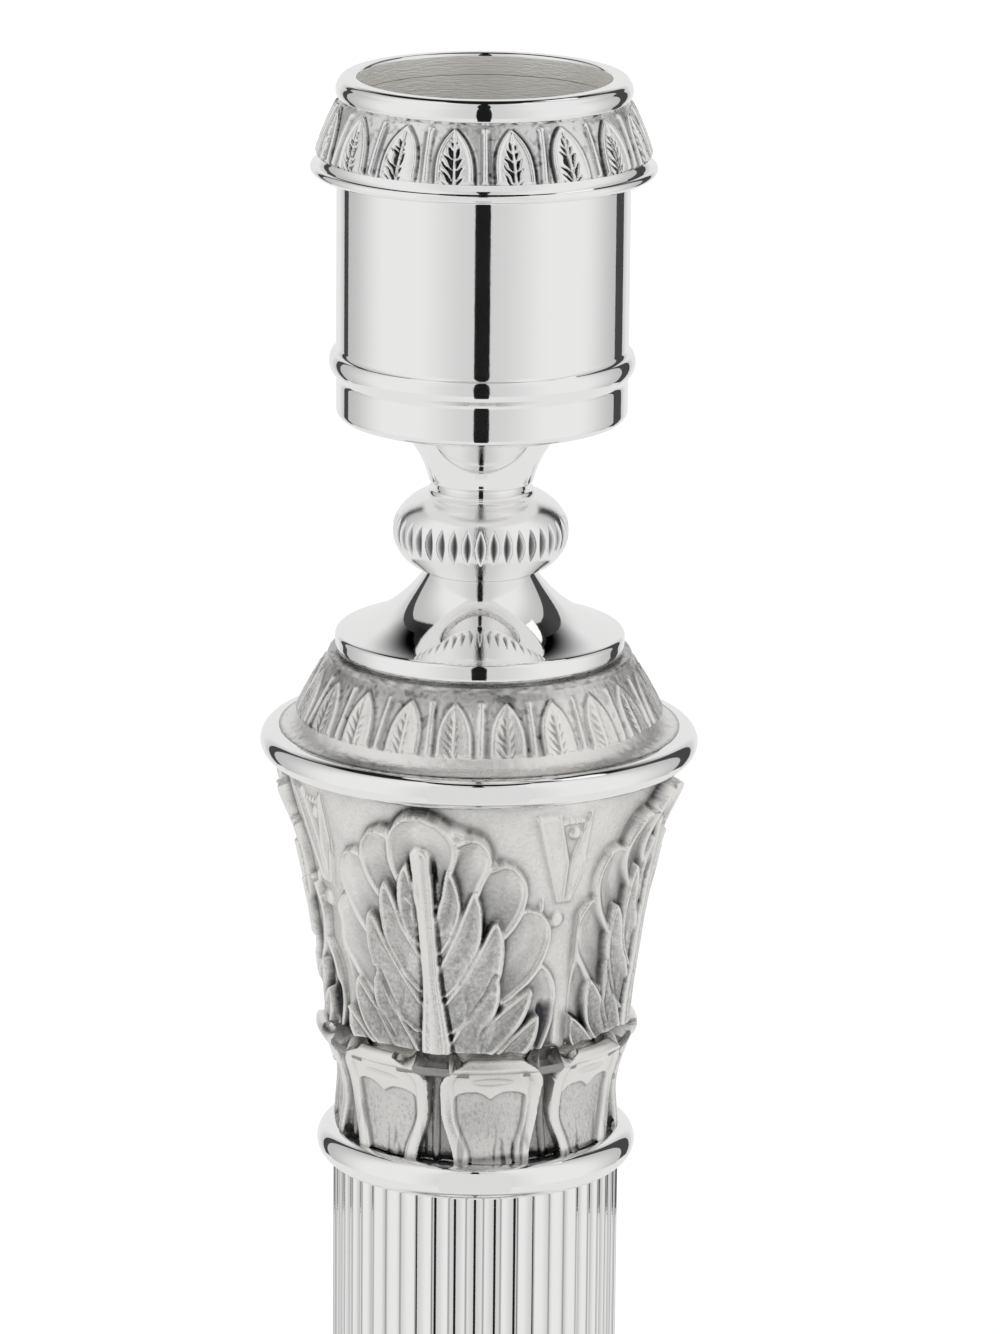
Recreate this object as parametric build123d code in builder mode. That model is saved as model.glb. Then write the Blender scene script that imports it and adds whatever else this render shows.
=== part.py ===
from build123d import *
import os

# A silver column candlestick, in millimetres. Z = 0 is the table and Z is the column's axis.
# It is a stack of turned and cast rings. A tie rod clamps the base, column and capital together.
# The socket unit plugs into the capital and lifts off.

os.makedirs("parts", exist_ok=True)

# Driving dimensions
total_height = 300.0
candle_bore_r = 11.5        # takes a candle of 22 mm
bore_depth = 29.0
column_r = 13.3
flute_count = 52
flute_r = 2.0               # shallow flutes: their centres lie outside the column
flute_centre_r = column_r + 1.85
running_clearance = 0.05

# Levels, from the rim downwards
rim_z = total_height
mouth_z = rim_z - 2.0               # end of the cup's tube, inside the collar
collar_bottom_z = rim_z - 8.8
cup_floor_z = rim_z - bore_depth
cup_bottom_z = cup_floor_z - 2.4
neck_foot_z = cup_bottom_z - 6.6
knop_bottom_z = neck_foot_z - 7.7
knop_top_z = knop_bottom_z + 7.2    # under the knop's small upper ring
seat_z = knop_bottom_z - 7.4        # where the socket unit rests on the capital
abacus_top_z = seat_z - 7.35
abacus_bottom_z = abacus_top_z - 2.8
astragal_top_z = abacus_bottom_z - 35.55
astragal_bottom_z = astragal_top_z - 3.4
column_bottom_z = 66.0
base_collar_bottom_z = 59.0
dome_bottom_z = 17.6
band_bottom_z = 9.6
rim_bottom_z = 0.8
plate_top_z = 3.0
plate_bottom_z = 1.5

# Socket unit
cup_r = 13.3
cup_tube_end_r = 12.4       # cup's tube inside the collar
bead_r = 13.93
bead_bottom_z = cup_bottom_z + 3.7
bead_top_z = bead_bottom_z + 3.1
collar_leaf_count = 17
screw_r = 2.0
screw_hole_r = 2.15
screw_head_r = 4.0
screw_end_z = seat_z - 12.4
spigot_r = 5.0
spigot_length = 14.0
knop_r = 8.0
knop_cut_count = 40
knop_cut_root_r = 7.45
foot_disc_r = 13.3

# Capital
bush_r = 7.0
bush_flange_r = 9.0
bush_flange_thickness = 1.6
bush_top_z = seat_z - 0.4
bush_bottom_z = bush_top_z - 21.0
bush_bore_bottom_z = seat_z - spigot_length - 1.0
seat_boss_r = 12.4
shoulder_leaf_count = 21
calyx_seat_r = 12.2         # straight part of the bell under the calyx
calyx_height = 10.7
bell_floor_thickness = 3.0
leaf_turn = -17.0           # angle of the first acanthus leaf from the front
leaf_count = 4
calyx_turn = 5.5
calyx_leaf_count = 8

# Rod, plugs and base
rod_r = 3.0
rod_hole_r = 3.2
rod_bottom_z = 2.4
rod_top_z = bush_bore_bottom_z - 0.9
tube_bore_r = 11.2
plug_length = 8.0
plug_spigot_r = 8.0
base_leaf_count = 45
plate_r = 55.0
felt_r = 54.0
dish_r = 13.5               # raised middle of the plate, over the nut
dish_top_z = 11.0
sheet_thickness = 1.5
washer_r = 8.0
washer_thickness = 1.2
nut_across_flats = 10.0
nut_thickness = 5.0


def lancet(height, width):
    """A leaf outline with a flat foot and a pointed tip, centred on its origin."""
    half_width = width / 2
    foot = -height / 2
    tip = height / 2
    belly = (0.9 * half_width, 0.1 * height)
    with BuildSketch(mode=Mode.PRIVATE) as outline:
        with BuildLine():
            Line((-half_width, foot), (half_width, foot))
            ThreePointArc((half_width, foot), belly, (0, tip))
            ThreePointArc((0, tip), (-belly[0], belly[1]), (-half_width, foot))
        make_face()
    return outline.sketch


def band_cutter(middle, lean, height, width, rib, depth):
    """A cutter for the groove round one leaf of a band. middle is (radius, level) on the band's
    surface and lean is the (radius, level) direction of the band's outward normal."""
    groove = lancet(height, width) - lancet(height - 2 * rib, width - 2 * rib)
    surface = Plane(origin=(middle[0], 0, middle[1]), x_dir=(0, 1, 0), z_dir=(lean[0], 0, lean[1]))
    return extrude(surface.offset(-depth) * groove, amount=depth + 3.0)


# ---- Socket unit -------------------------------------------------------------------------------

# Collar: rolled rim, flaring leaf band and polished lip
collar_leaf_cutter = band_cutter((14.45, rim_z - 4.45), (4.7, 1.9), 4.1, 3.7, 0.5, 0.45)
with BuildPart() as socket_collar:
    with BuildSketch(Plane.XZ):
        with BuildLine():
            Polyline((candle_bore_r, mouth_z), (candle_bore_r, rim_z - 0.25), (11.75, rim_z), (12.5, rim_z))
            ThreePointArc((12.5, rim_z), (13.17, rim_z - 0.36), (13.4, rim_z - 1.1))
            Polyline((13.4, rim_z - 1.1), (13.4, rim_z - 1.65), (13.2, rim_z - 1.85), (13.2, rim_z - 2.3))
            ThreePointArc((13.2, rim_z - 2.3), (14.45, rim_z - 4.45), (15.15, rim_z - 7.0))
            Polyline((15.15, rim_z - 7.0), (15.3, rim_z - 7.9))
            ThreePointArc((15.3, rim_z - 7.9), (15.69, rim_z - 8.35), (15.3, collar_bottom_z))
            Polyline(
                (15.3, collar_bottom_z),
                (cup_tube_end_r, collar_bottom_z),
                (cup_tube_end_r, mouth_z),
                (candle_bore_r, mouth_z),
            )
        make_face()
    revolve(axis=Axis.Z)
    with PolarLocations(0, collar_leaf_count, start_angle=-80):
        add(collar_leaf_cutter, mode=Mode.SUBTRACT)
socket_collar.part.label = "socket_collar"
export_step(socket_collar.part, "parts/socket_collar.step")

# Cup: turned, with a bead low on its wall and a countersunk hole in its floor
with BuildPart() as socket_cup:
    with BuildSketch(Plane.XZ):
        with BuildLine():
            Line((screw_hole_r, cup_bottom_z), (12.5, cup_bottom_z))
            ThreePointArc((12.5, cup_bottom_z), (13.05, cup_bottom_z + 0.23), (13.27, cup_bottom_z + 0.8))
            Line((13.27, cup_bottom_z + 0.8), (13.27, bead_bottom_z))
            ThreePointArc((13.27, bead_bottom_z), (bead_r, bead_bottom_z + 1.6), (13.65, bead_bottom_z + 2.5))
            ThreePointArc((13.65, bead_bottom_z + 2.5), (13.39, bead_bottom_z + 2.75), (cup_r, bead_top_z))
            Polyline(
                (cup_r, bead_top_z),
                (cup_r, collar_bottom_z),
                (cup_tube_end_r, collar_bottom_z),
                (cup_tube_end_r, mouth_z),
                (candle_bore_r, mouth_z),
                (candle_bore_r, cup_floor_z),
                (screw_head_r + 0.1, cup_floor_z),
                (screw_hole_r, cup_floor_z - screw_head_r - 0.1 + screw_hole_r),
                (screw_hole_r, cup_bottom_z),
            )
        make_face()
    revolve(axis=Axis.Z)
socket_cup.part.label = "socket_cup"
export_step(socket_cup.part, "parts/socket_cup.step")

# Neck: tulip under the cup, with a narrow recess at its foot
with BuildPart() as socket_neck:
    with BuildSketch(Plane.XZ):
        with BuildLine():
            Polyline(
                (8.0, neck_foot_z + 5.9),
                (8.0, cup_bottom_z),
                (screw_hole_r, cup_bottom_z),
                (screw_hole_r, neck_foot_z),
                (4.2, neck_foot_z),
                (4.2, neck_foot_z + 0.6),
                (4.65, neck_foot_z + 0.6),
            )
            ThreePointArc((4.65, neck_foot_z + 0.6), (5.5, neck_foot_z + 3.0), (8.0, neck_foot_z + 5.9))
        make_face()
    revolve(axis=Axis.Z)
socket_neck.part.label = "socket_neck"
export_step(socket_neck.part, "parts/socket_neck.step")

# Knop: round, with upright V cuts that show as lens shapes on its curved side
with BuildSketch(Plane.XY.offset(knop_bottom_z + 1.2), mode=Mode.PRIVATE) as v_cut:
    with BuildLine():
        Polyline((knop_cut_root_r, 0), (knop_r + 0.6, 0.8), (knop_r + 0.6, -0.8), close=True)
    make_face()
knop_cutter = extrude(v_cut.sketch, amount=5.2)
with BuildPart() as knop:
    with BuildSketch(Plane.XZ):
        with BuildLine():
            Line((screw_hole_r, knop_bottom_z), (5.0, knop_bottom_z))
            ThreePointArc((5.0, knop_bottom_z), (6.35, knop_bottom_z + 1.0), (7.35, knop_bottom_z + 2.2))
            ThreePointArc(
                (7.35, knop_bottom_z + 2.2), (knop_r, knop_bottom_z + 3.75), (7.45, knop_bottom_z + 5.2)
            )
            ThreePointArc((7.45, knop_bottom_z + 5.2), (6.45, knop_bottom_z + 6.5), (5.1, knop_top_z))
            Polyline(
                (5.1, knop_top_z),
                (4.8, knop_top_z),
                (4.8, neck_foot_z),
                (screw_hole_r, neck_foot_z),
                (screw_hole_r, knop_bottom_z),
            )
        make_face()
    revolve(axis=Axis.Z)
    with PolarLocations(0, knop_cut_count, start_angle=-90):
        add(knop_cutter, mode=Mode.SUBTRACT)
knop.part.label = "knop"
export_step(knop.part, "parts/knop.step")

# Spreader foot: trumpet that ends in a thin disc, resting on the capital
with BuildPart() as spreader_foot:
    with BuildSketch(Plane.XZ):
        with BuildLine():
            Polyline(
                (5.05, knop_bottom_z),
                (screw_hole_r, knop_bottom_z),
                (screw_hole_r, seat_z),
                (foot_disc_r, seat_z),
                (foot_disc_r, seat_z + 1.15),
                (13.0, seat_z + 1.5),
            )
            ThreePointArc((13.0, seat_z + 1.5), (7.6, seat_z + 4.5), (5.05, knop_bottom_z))
        make_face()
    revolve(axis=Axis.Z)
spreader_foot.part.label = "spreader_foot"
export_step(spreader_foot.part, "parts/spreader_foot.step")

# Spigot: plug under the disc, threaded for the long screw
with BuildPart() as spigot:
    with BuildSketch(Plane.XY.offset(seat_z)):
        Circle(spigot_r)
    extrude(amount=-spigot_length)
    chamfer(spigot.edges().sort_by(Axis.Z)[0], length=0.6)
    with BuildSketch(Plane.XY.offset(seat_z)):
        Circle(screw_r)
    extrude(amount=screw_end_z - seat_z - 0.6, mode=Mode.SUBTRACT)
spigot.part.label = "spigot"
export_step(spigot.part, "parts/spigot.step")

# Long countersunk screw that holds the unit together
with BuildPart() as cup_screw:
    head_top_z = cup_floor_z - 0.1
    with BuildSketch(Plane.XZ):
        with BuildLine():
            Polyline(
                (0, screw_end_z),
                (screw_r, screw_end_z),
                (screw_r, head_top_z - screw_head_r + screw_r),
                (screw_head_r, head_top_z),
                (0, head_top_z),
                close=True,
            )
        make_face()
    revolve(axis=Axis.Z)
    with BuildSketch(Plane.XY.offset(head_top_z)):
        Rectangle(5.5, 0.9)
    extrude(amount=-1.0, mode=Mode.SUBTRACT)
cup_screw.part.label = "cup_screw"
export_step(cup_screw.part, "parts/cup_screw.step")

# ---- Capital -----------------------------------------------------------------------------------

# Shoulder: cast echinus with leaves, a seat boss on top and a cove at its foot
shoulder_leaf_cutter = band_cutter((15.95, seat_z - 3.6), (4.9, 2.7), 4.6, 3.3, 0.45, 0.45)
with BuildPart() as capital_shoulder:
    with BuildSketch(Plane.XZ):
        with BuildLine():
            Polyline(
                (bush_flange_r, bush_top_z - bush_flange_thickness),
                (bush_flange_r, seat_z),
                (seat_boss_r, seat_z),
                (seat_boss_r, seat_z - 0.3),
                (14.15, seat_z - 0.3),
                (14.15, seat_z - 0.8),
            )
            ThreePointArc((14.15, seat_z - 0.8), (15.95, seat_z - 3.6), (17.0, seat_z - 5.9))
            ThreePointArc((17.0, seat_z - 5.9), (17.6, seat_z - 6.8), (18.5, abacus_top_z))
            Polyline(
                (18.5, abacus_top_z),
                (bush_r, abacus_top_z),
                (bush_r, bush_top_z - bush_flange_thickness),
                (bush_flange_r, bush_top_z - bush_flange_thickness),
            )
        make_face()
    revolve(axis=Axis.Z)
    with PolarLocations(0, shoulder_leaf_count, start_angle=-81):
        add(shoulder_leaf_cutter, mode=Mode.SUBTRACT)
capital_shoulder.part.label = "capital_shoulder"
export_step(capital_shoulder.part, "parts/capital_shoulder.step")

# Bush: smooth bore above for the spigot, thread below for the tie rod
with BuildPart() as capital_bush:
    bore_r = spigot_r + running_clearance
    with BuildSketch(Plane.XZ):
        with BuildLine():
            Polyline(
                (bore_r, bush_top_z),
                (bush_flange_r, bush_top_z),
                (bush_flange_r, bush_top_z - bush_flange_thickness),
                (bush_r, bush_top_z - bush_flange_thickness),
                (bush_r, bush_bottom_z),
                (rod_r, bush_bottom_z),
                (rod_r, rod_top_z),
                (0, rod_top_z),
                (0, bush_bore_bottom_z),
                (bore_r, bush_bore_bottom_z),
                close=True,
            )
        make_face()
    revolve(axis=Axis.Z)
capital_bush.part.label = "capital_bush"
export_step(capital_bush.part, "parts/capital_bush.step")

# Abacus ring: polished, round-nosed
with BuildPart() as abacus_ring:
    nose_start = (18.75, abacus_bottom_z)
    nose_end = (18.75, abacus_top_z)
    with BuildSketch(Plane.XZ):
        with BuildLine():
            Polyline(nose_end, (12.0, abacus_top_z), (12.0, abacus_bottom_z), nose_start)
            ThreePointArc(nose_start, (20.15, (abacus_top_z + abacus_bottom_z) / 2), nose_end)
        make_face()
    revolve(axis=Axis.Z)
abacus_ring.part.label = "abacus_ring"
export_step(abacus_ring.part, "parts/abacus_ring.step")

# Bell: hollow flaring casting with acanthus leaves in two layers
calyx_top_z = astragal_top_z + calyx_height


def bell_solid(growth):
    """The flaring body of the bell, its surface moved out by growth, with no hollow."""
    with BuildPart(mode=Mode.PRIVATE) as body:
        with BuildSketch(Plane.XZ):
            with BuildLine():
                Polyline(
                    (18.1 + growth, abacus_bottom_z),
                    (0, abacus_bottom_z),
                    (0, calyx_top_z),
                    (13.4 + growth, calyx_top_z),
                )
                ThreePointArc(
                    (13.4 + growth, calyx_top_z),
                    (15.3 + growth, abacus_bottom_z - 12.35),
                    (18.1 + growth, abacus_bottom_z),
                )
            make_face()
        revolve(axis=Axis.Z)
    return body.part


leaf_foot_z = calyx_top_z
with BuildSketch(Plane.XZ.offset(9), mode=Mode.PRIVATE) as back_leaf:
    with BuildLine():
        Polyline((-5.8, leaf_foot_z), (5.8, leaf_foot_z), (7.0, leaf_foot_z + 6.0))
        ThreePointArc((7.0, leaf_foot_z + 6.0), (5.6, leaf_foot_z + 15.5), (0, leaf_foot_z + 22.0))
        ThreePointArc((0, leaf_foot_z + 22.0), (-5.6, leaf_foot_z + 15.5), (-7.0, leaf_foot_z + 6.0))
        Line((-7.0, leaf_foot_z + 6.0), (-5.8, leaf_foot_z))
    make_face()
with BuildSketch(Plane.XZ.offset(9), mode=Mode.PRIVATE) as front_leaf:
    Trapezoid(1.9, 18.5, 88, align=(Align.CENTER, Align.MIN))
    for side in (-1, 1):
        for finger in range(5):
            reach = 5.6 - 0.75 * finger
            middle = (side * (0.5 + 0.46 * reach), 1.9 + 3.2 * finger)
            with Locations(Location((middle[0], middle[1]), side * -(42 - 5 * finger))):
                Ellipse(0.75, 0.62 * reach)
leaf_front = extrude(Pos(0, 0, leaf_foot_z) * front_leaf.sketch, amount=14) & bell_solid(0.85)
leaf_back = extrude(back_leaf.sketch, amount=14) & bell_solid(0.4)

with BuildPart() as capital_bell:
    add(bell_solid(0))
    with BuildSketch(Plane.XY.offset(calyx_top_z)):
        Circle(calyx_seat_r)
    extrude(amount=-calyx_height)
    with PolarLocations(0, leaf_count, start_angle=leaf_turn):
        add(leaf_back)
        add(leaf_front)
    bell_hollow_z = astragal_top_z + bell_floor_thickness
    with BuildSketch(Plane.XZ):
        with BuildLine():
            Polyline((16.0, abacus_bottom_z), (0, abacus_bottom_z), (0, bell_hollow_z), (10.2, bell_hollow_z))
            Line((10.2, bell_hollow_z), (10.6, calyx_top_z - 2.0))
            ThreePointArc(
                (10.6, calyx_top_z - 2.0),
                (13.1, abacus_bottom_z - 12.35),
                (16.0, abacus_bottom_z),
            )
        make_face()
    revolve(axis=Axis.Z, mode=Mode.SUBTRACT)
    with BuildSketch(Plane.XY.offset(bell_hollow_z)):
        Circle(plug_spigot_r)
    extrude(amount=-bell_floor_thickness, mode=Mode.SUBTRACT)
capital_bell.part.label = "capital_bell"
export_step(capital_bell.part, "parts/capital_bell.step")

# Calyx: ring of small leaves whose tops curl outwards, with a sunk panel in each leaf
with BuildSketch(Plane.XZ.offset(calyx_seat_r + 0.35), mode=Mode.PRIVATE) as gap:
    with BuildLine():
        Polyline((-1.2, -0.5), (1.2, -0.5), (0.45, 5.5), (0.45, 9.0), (1.5, 11.5), (-1.5, 11.5))
        Polyline((-1.5, 11.5), (-0.45, 9.0), (-0.45, 5.5), (-1.2, -0.5))
    make_face()
with BuildSketch(Plane.XZ.offset(12.8), mode=Mode.PRIVATE) as panel:
    with BuildLine():
        Polyline((-2.0, 1.0), (2.0, 1.0), (2.9, 4.5))
        ThreePointArc((2.9, 4.5), (2.3, 6.9), (0, 6.3))
        ThreePointArc((0, 6.3), (-2.3, 6.9), (-2.9, 4.5))
        Line((-2.9, 4.5), (-2.0, 1.0))
    make_face()
gap_cutter = extrude(Pos(0, 0, astragal_top_z) * gap.sketch, amount=4)
panel_cutter = extrude(Pos(0, 0, astragal_top_z) * panel.sketch, amount=4)
with BuildPart() as leaf_calyx:
    with BuildSketch(Plane.XZ):
        with BuildLine():
            Polyline(
                (14.2, calyx_top_z),
                (calyx_seat_r, calyx_top_z),
                (calyx_seat_r, astragal_top_z),
                (13.2, astragal_top_z),
                (13.1, astragal_top_z + 2.5),
            )
            ThreePointArc(
                (13.1, astragal_top_z + 2.5), (13.4, astragal_top_z + 6.2), (14.5, astragal_top_z + 9.0)
            )
            ThreePointArc((14.5, astragal_top_z + 9.0), (14.95, astragal_top_z + 9.9), (14.2, calyx_top_z))
        make_face()
    revolve(axis=Axis.Z)
    with PolarLocations(0, calyx_leaf_count, start_angle=calyx_turn):
        add(panel_cutter, mode=Mode.SUBTRACT)
    with PolarLocations(0, calyx_leaf_count, start_angle=calyx_turn + 180 / calyx_leaf_count):
        add(gap_cutter, mode=Mode.SUBTRACT)
leaf_calyx.part.label = "leaf_calyx"
export_step(leaf_calyx.part, "parts/leaf_calyx.step")

# Astragal ring: polished, round-nosed, on top of the column
with BuildPart() as astragal_ring:
    nose_start = (13.12, astragal_bottom_z)
    nose_end = (13.12, astragal_top_z)
    with BuildSketch(Plane.XZ):
        with BuildLine():
            Polyline(nose_end, (plug_spigot_r, astragal_top_z))
            Polyline((plug_spigot_r, astragal_top_z), (plug_spigot_r, astragal_bottom_z), nose_start)
            ThreePointArc(nose_start, (14.82, (astragal_top_z + astragal_bottom_z) / 2), nose_end)
        make_face()
    revolve(axis=Axis.Z)
astragal_ring.part.label = "astragal_ring"
export_step(astragal_ring.part, "parts/astragal_ring.step")

# ---- Column ------------------------------------------------------------------------------------

with BuildPart() as column_tube:
    with BuildSketch(Plane.XY.offset(column_bottom_z)):
        Circle(column_r)
        Circle(tube_bore_r, mode=Mode.SUBTRACT)
        with PolarLocations(flute_centre_r, flute_count):
            Circle(flute_r, mode=Mode.SUBTRACT)
    extrude(amount=astragal_bottom_z - column_bottom_z)
column_tube.part.label = "column_tube"
export_step(column_tube.part, "parts/column_tube.step")

with BuildPart() as column_top_plug:
    with BuildSketch(Plane.XY.offset(astragal_bottom_z)):
        Circle(tube_bore_r)
        Circle(rod_hole_r, mode=Mode.SUBTRACT)
    extrude(amount=-plug_length)
    with BuildSketch(Plane.XY.offset(astragal_bottom_z)):
        Circle(plug_spigot_r)
        Circle(rod_hole_r, mode=Mode.SUBTRACT)
    extrude(amount=astragal_top_z - astragal_bottom_z + bell_floor_thickness)
column_top_plug.part.label = "column_top_plug"
export_step(column_top_plug.part, "parts/column_top_plug.step")

with BuildPart() as column_bottom_plug:
    with BuildSketch(Plane.XY.offset(column_bottom_z)):
        Circle(tube_bore_r)
        Circle(rod_hole_r, mode=Mode.SUBTRACT)
    extrude(amount=plug_length)
    with BuildSketch(Plane.XY.offset(column_bottom_z)):
        Circle(plug_spigot_r)
        Circle(rod_hole_r, mode=Mode.SUBTRACT)
    extrude(amount=base_collar_bottom_z - bell_floor_thickness - column_bottom_z)
column_bottom_plug.part.label = "column_bottom_plug"
export_step(column_bottom_plug.part, "parts/column_bottom_plug.step")

with BuildPart() as tie_rod:
    with BuildSketch(Plane.XY.offset(rod_bottom_z)):
        Circle(rod_r)
    extrude(amount=rod_top_z - rod_bottom_z)
    chamfer(tie_rod.edges().filter_by(GeomType.CIRCLE), length=0.5)
tie_rod.part.label = "tie_rod"
export_step(tie_rod.part, "parts/tie_rod.step")

# ---- Base --------------------------------------------------------------------------------------

with BuildPart() as base_collar:
    with BuildSketch(Plane.XZ):
        with BuildLine():
            Polyline(
                (14.9, base_collar_bottom_z + 4.8),
                (14.2, base_collar_bottom_z + 4.8),
                (14.2, column_bottom_z),
                (plug_spigot_r, column_bottom_z),
                (plug_spigot_r, base_collar_bottom_z),
                (14.9, base_collar_bottom_z),
            )
            ThreePointArc(
                (14.9, base_collar_bottom_z),
                (17.3, base_collar_bottom_z + 2.4),
                (14.9, base_collar_bottom_z + 4.8),
            )
        make_face()
    revolve(axis=Axis.Z)
base_collar.part.label = "base_collar"
export_step(base_collar.part, "parts/base_collar.step")

# Dome: hollow trumpet that sweeps out to a rolled edge
with BuildPart() as base_dome:
    dome_ceiling_z = base_collar_bottom_z - bell_floor_thickness
    with BuildSketch(Plane.XZ):
        with BuildLine():
            Line((plug_spigot_r, base_collar_bottom_z), (14.6, base_collar_bottom_z))
            ThreePointArc((14.6, base_collar_bottom_z), (21.0, 34.0), (40.0, 21.2))
            ThreePointArc((40.0, 21.2), (42.7, 20.0), (43.6, dome_bottom_z))
            Line((43.6, dome_bottom_z), (41.4, dome_bottom_z))
            ThreePointArc((41.4, dome_bottom_z), (40.8, 18.6), (39.4, 19.2))
            ThreePointArc((39.4, 19.2), (19.3, 32.8), (12.5, dome_ceiling_z))
            Polyline(
                (12.5, dome_ceiling_z), (plug_spigot_r, dome_ceiling_z), (plug_spigot_r, base_collar_bottom_z)
            )
        make_face()
    revolve(axis=Axis.Z)
base_dome.part.label = "base_dome"
export_step(base_dome.part, "parts/base_dome.step")

# Leaf band: cast ring that repeats the capital's leaves at a larger size
base_leaf_cutter = band_cutter((50.3, 14.9), (6.4, 8.8), 8.2, 4.9, 0.7, 0.6)
with BuildPart() as base_leaf_band:
    with BuildSketch(Plane.XZ):
        with BuildLine():
            Polyline((44.4, 17.0), (44.4, dome_bottom_z), (40.5, dome_bottom_z), (40.5, band_bottom_z))
            Polyline((40.5, band_bottom_z), (54.8, band_bottom_z), (54.8, 10.3))
            ThreePointArc((54.8, 10.3), (50.3, 14.9), (44.4, 17.0))
        make_face()
    revolve(axis=Axis.Z)
    with PolarLocations(0, base_leaf_count, start_angle=-90):
        add(base_leaf_cutter, mode=Mode.SUBTRACT)
base_leaf_band.part.label = "base_leaf_band"
export_step(base_leaf_band.part, "parts/base_leaf_band.step")

# Rim: round-nosed plinth ring with a recess for the plate
with BuildPart() as base_rim:
    with BuildSketch(Plane.XZ):
        with BuildLine():
            Polyline(
                (57.2, rim_bottom_z),
                (plate_r, rim_bottom_z),
                (plate_r, plate_top_z),
                (50.0, plate_top_z),
                (50.0, band_bottom_z),
                (55.6, band_bottom_z),
                (55.6, 7.6),
            )
            ThreePointArc((55.6, 7.6), (56.1, 6.9), (57.4, 6.6))
            ThreePointArc((57.4, 6.6), (59.2, 3.7), (57.2, rim_bottom_z))
        make_face()
    revolve(axis=Axis.Z)
base_rim.part.label = "base_rim"
export_step(base_rim.part, "parts/base_rim.step")

# Filler: cast weight that stands on the plate inside the dome
with BuildPart() as base_weight:
    with BuildSketch(Plane.XZ):
        with BuildLine():
            Polyline(
                (12.0, 48.0),
                (rod_hole_r + 0.4, 48.0),
                (rod_hole_r + 0.4, dish_top_z + 0.4),
                (dish_r + 0.7, dish_top_z + 0.4),
                (dish_r + 0.7, plate_top_z),
                (49.4, plate_top_z),
                (49.4, 9.0),
                (39.9, 9.0),
                (39.9, 17.2),
                (38.0, 18.6),
            )
            ThreePointArc((38.0, 18.6), (18.9, 31.2), (12.0, 48.0))
        make_face()
    revolve(axis=Axis.Z)
base_weight.part.label = "base_weight"
export_step(base_weight.part, "parts/base_weight.step")

# Plate: steel cover, dished in the middle so that the nut is sunk
with BuildPart() as base_plate:
    dish_wall_r = dish_r - sheet_thickness
    with BuildSketch(Plane.XZ):
        with BuildLine():
            Polyline(
                (plate_r, plate_bottom_z),
                (plate_r, plate_top_z),
                (dish_r, plate_top_z),
                (dish_r, dish_top_z),
                (rod_hole_r, dish_top_z),
                (rod_hole_r, dish_top_z - sheet_thickness),
                (dish_wall_r, dish_top_z - sheet_thickness),
                (dish_wall_r, plate_bottom_z),
                close=True,
            )
        make_face()
    revolve(axis=Axis.Z)
base_plate.part.label = "base_plate"
export_step(base_plate.part, "parts/base_plate.step")

washer_top_z = dish_top_z - sheet_thickness
with BuildPart() as base_washer:
    with BuildSketch(Plane.XY.offset(washer_top_z)):
        Circle(washer_r)
        Circle(rod_hole_r, mode=Mode.SUBTRACT)
    extrude(amount=-washer_thickness)
base_washer.part.label = "base_washer"
export_step(base_washer.part, "parts/base_washer.step")

with BuildPart() as base_nut:
    with BuildSketch(Plane.XY.offset(washer_top_z - washer_thickness)):
        RegularPolygon(nut_across_flats / 2, 6, major_radius=False)
        Circle(rod_r, mode=Mode.SUBTRACT)
    extrude(amount=-nut_thickness)
base_nut.part.label = "base_nut"
export_step(base_nut.part, "parts/base_nut.step")

with BuildPart() as felt_pad:
    with BuildSketch(Plane.XY):
        Circle(felt_r)
    extrude(amount=plate_bottom_z)
felt_pad.part.label = "felt_pad"
export_step(felt_pad.part, "parts/felt_pad.step")
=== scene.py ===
import math
import bpy
import numpy as np
from mathutils import Matrix, Vector


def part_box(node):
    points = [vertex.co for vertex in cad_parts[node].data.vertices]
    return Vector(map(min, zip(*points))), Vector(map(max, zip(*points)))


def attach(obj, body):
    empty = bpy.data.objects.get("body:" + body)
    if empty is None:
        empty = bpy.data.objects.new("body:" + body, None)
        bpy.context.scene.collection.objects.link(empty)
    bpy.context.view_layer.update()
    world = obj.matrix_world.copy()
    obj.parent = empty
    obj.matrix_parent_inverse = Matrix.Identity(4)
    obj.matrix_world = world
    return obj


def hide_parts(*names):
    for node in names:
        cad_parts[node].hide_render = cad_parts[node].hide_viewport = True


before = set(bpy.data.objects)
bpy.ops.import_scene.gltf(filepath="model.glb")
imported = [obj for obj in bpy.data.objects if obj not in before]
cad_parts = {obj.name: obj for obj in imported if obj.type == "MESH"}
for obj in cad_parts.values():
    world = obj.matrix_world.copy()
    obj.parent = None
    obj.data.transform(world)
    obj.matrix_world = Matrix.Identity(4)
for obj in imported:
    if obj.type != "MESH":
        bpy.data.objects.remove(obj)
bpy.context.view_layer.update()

# Outlines are (radius, level) points in millimetres, in clockwise order: up the inside, over the
# top, down the outside and back underneath. Azimuths are in degrees, from -Y towards +X.
MM = 0.001
SECTOR = 90.0                # the capital's ornament repeats every quarter turn
SECTOR_START = -54.0         # so that the sectors meet in plain ground beside a leaf
FINE_GRID = 0.09             # spacing of the points on the bell and the shoulder's leaf band
SCREW_HOLE_R = 2.15          # through the socket unit, for the cup's screw
TUBE_R = 12.4                # where the collar slips over the cup's tube
FLOOR_T = 2.4                # the cup's floor


def top(node):
    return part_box(node)[1].z / MM


def low(node):
    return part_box(node)[0].z / MM


# ---- Levels, read from the CAD frame -----------------------------------------------------------

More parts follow.
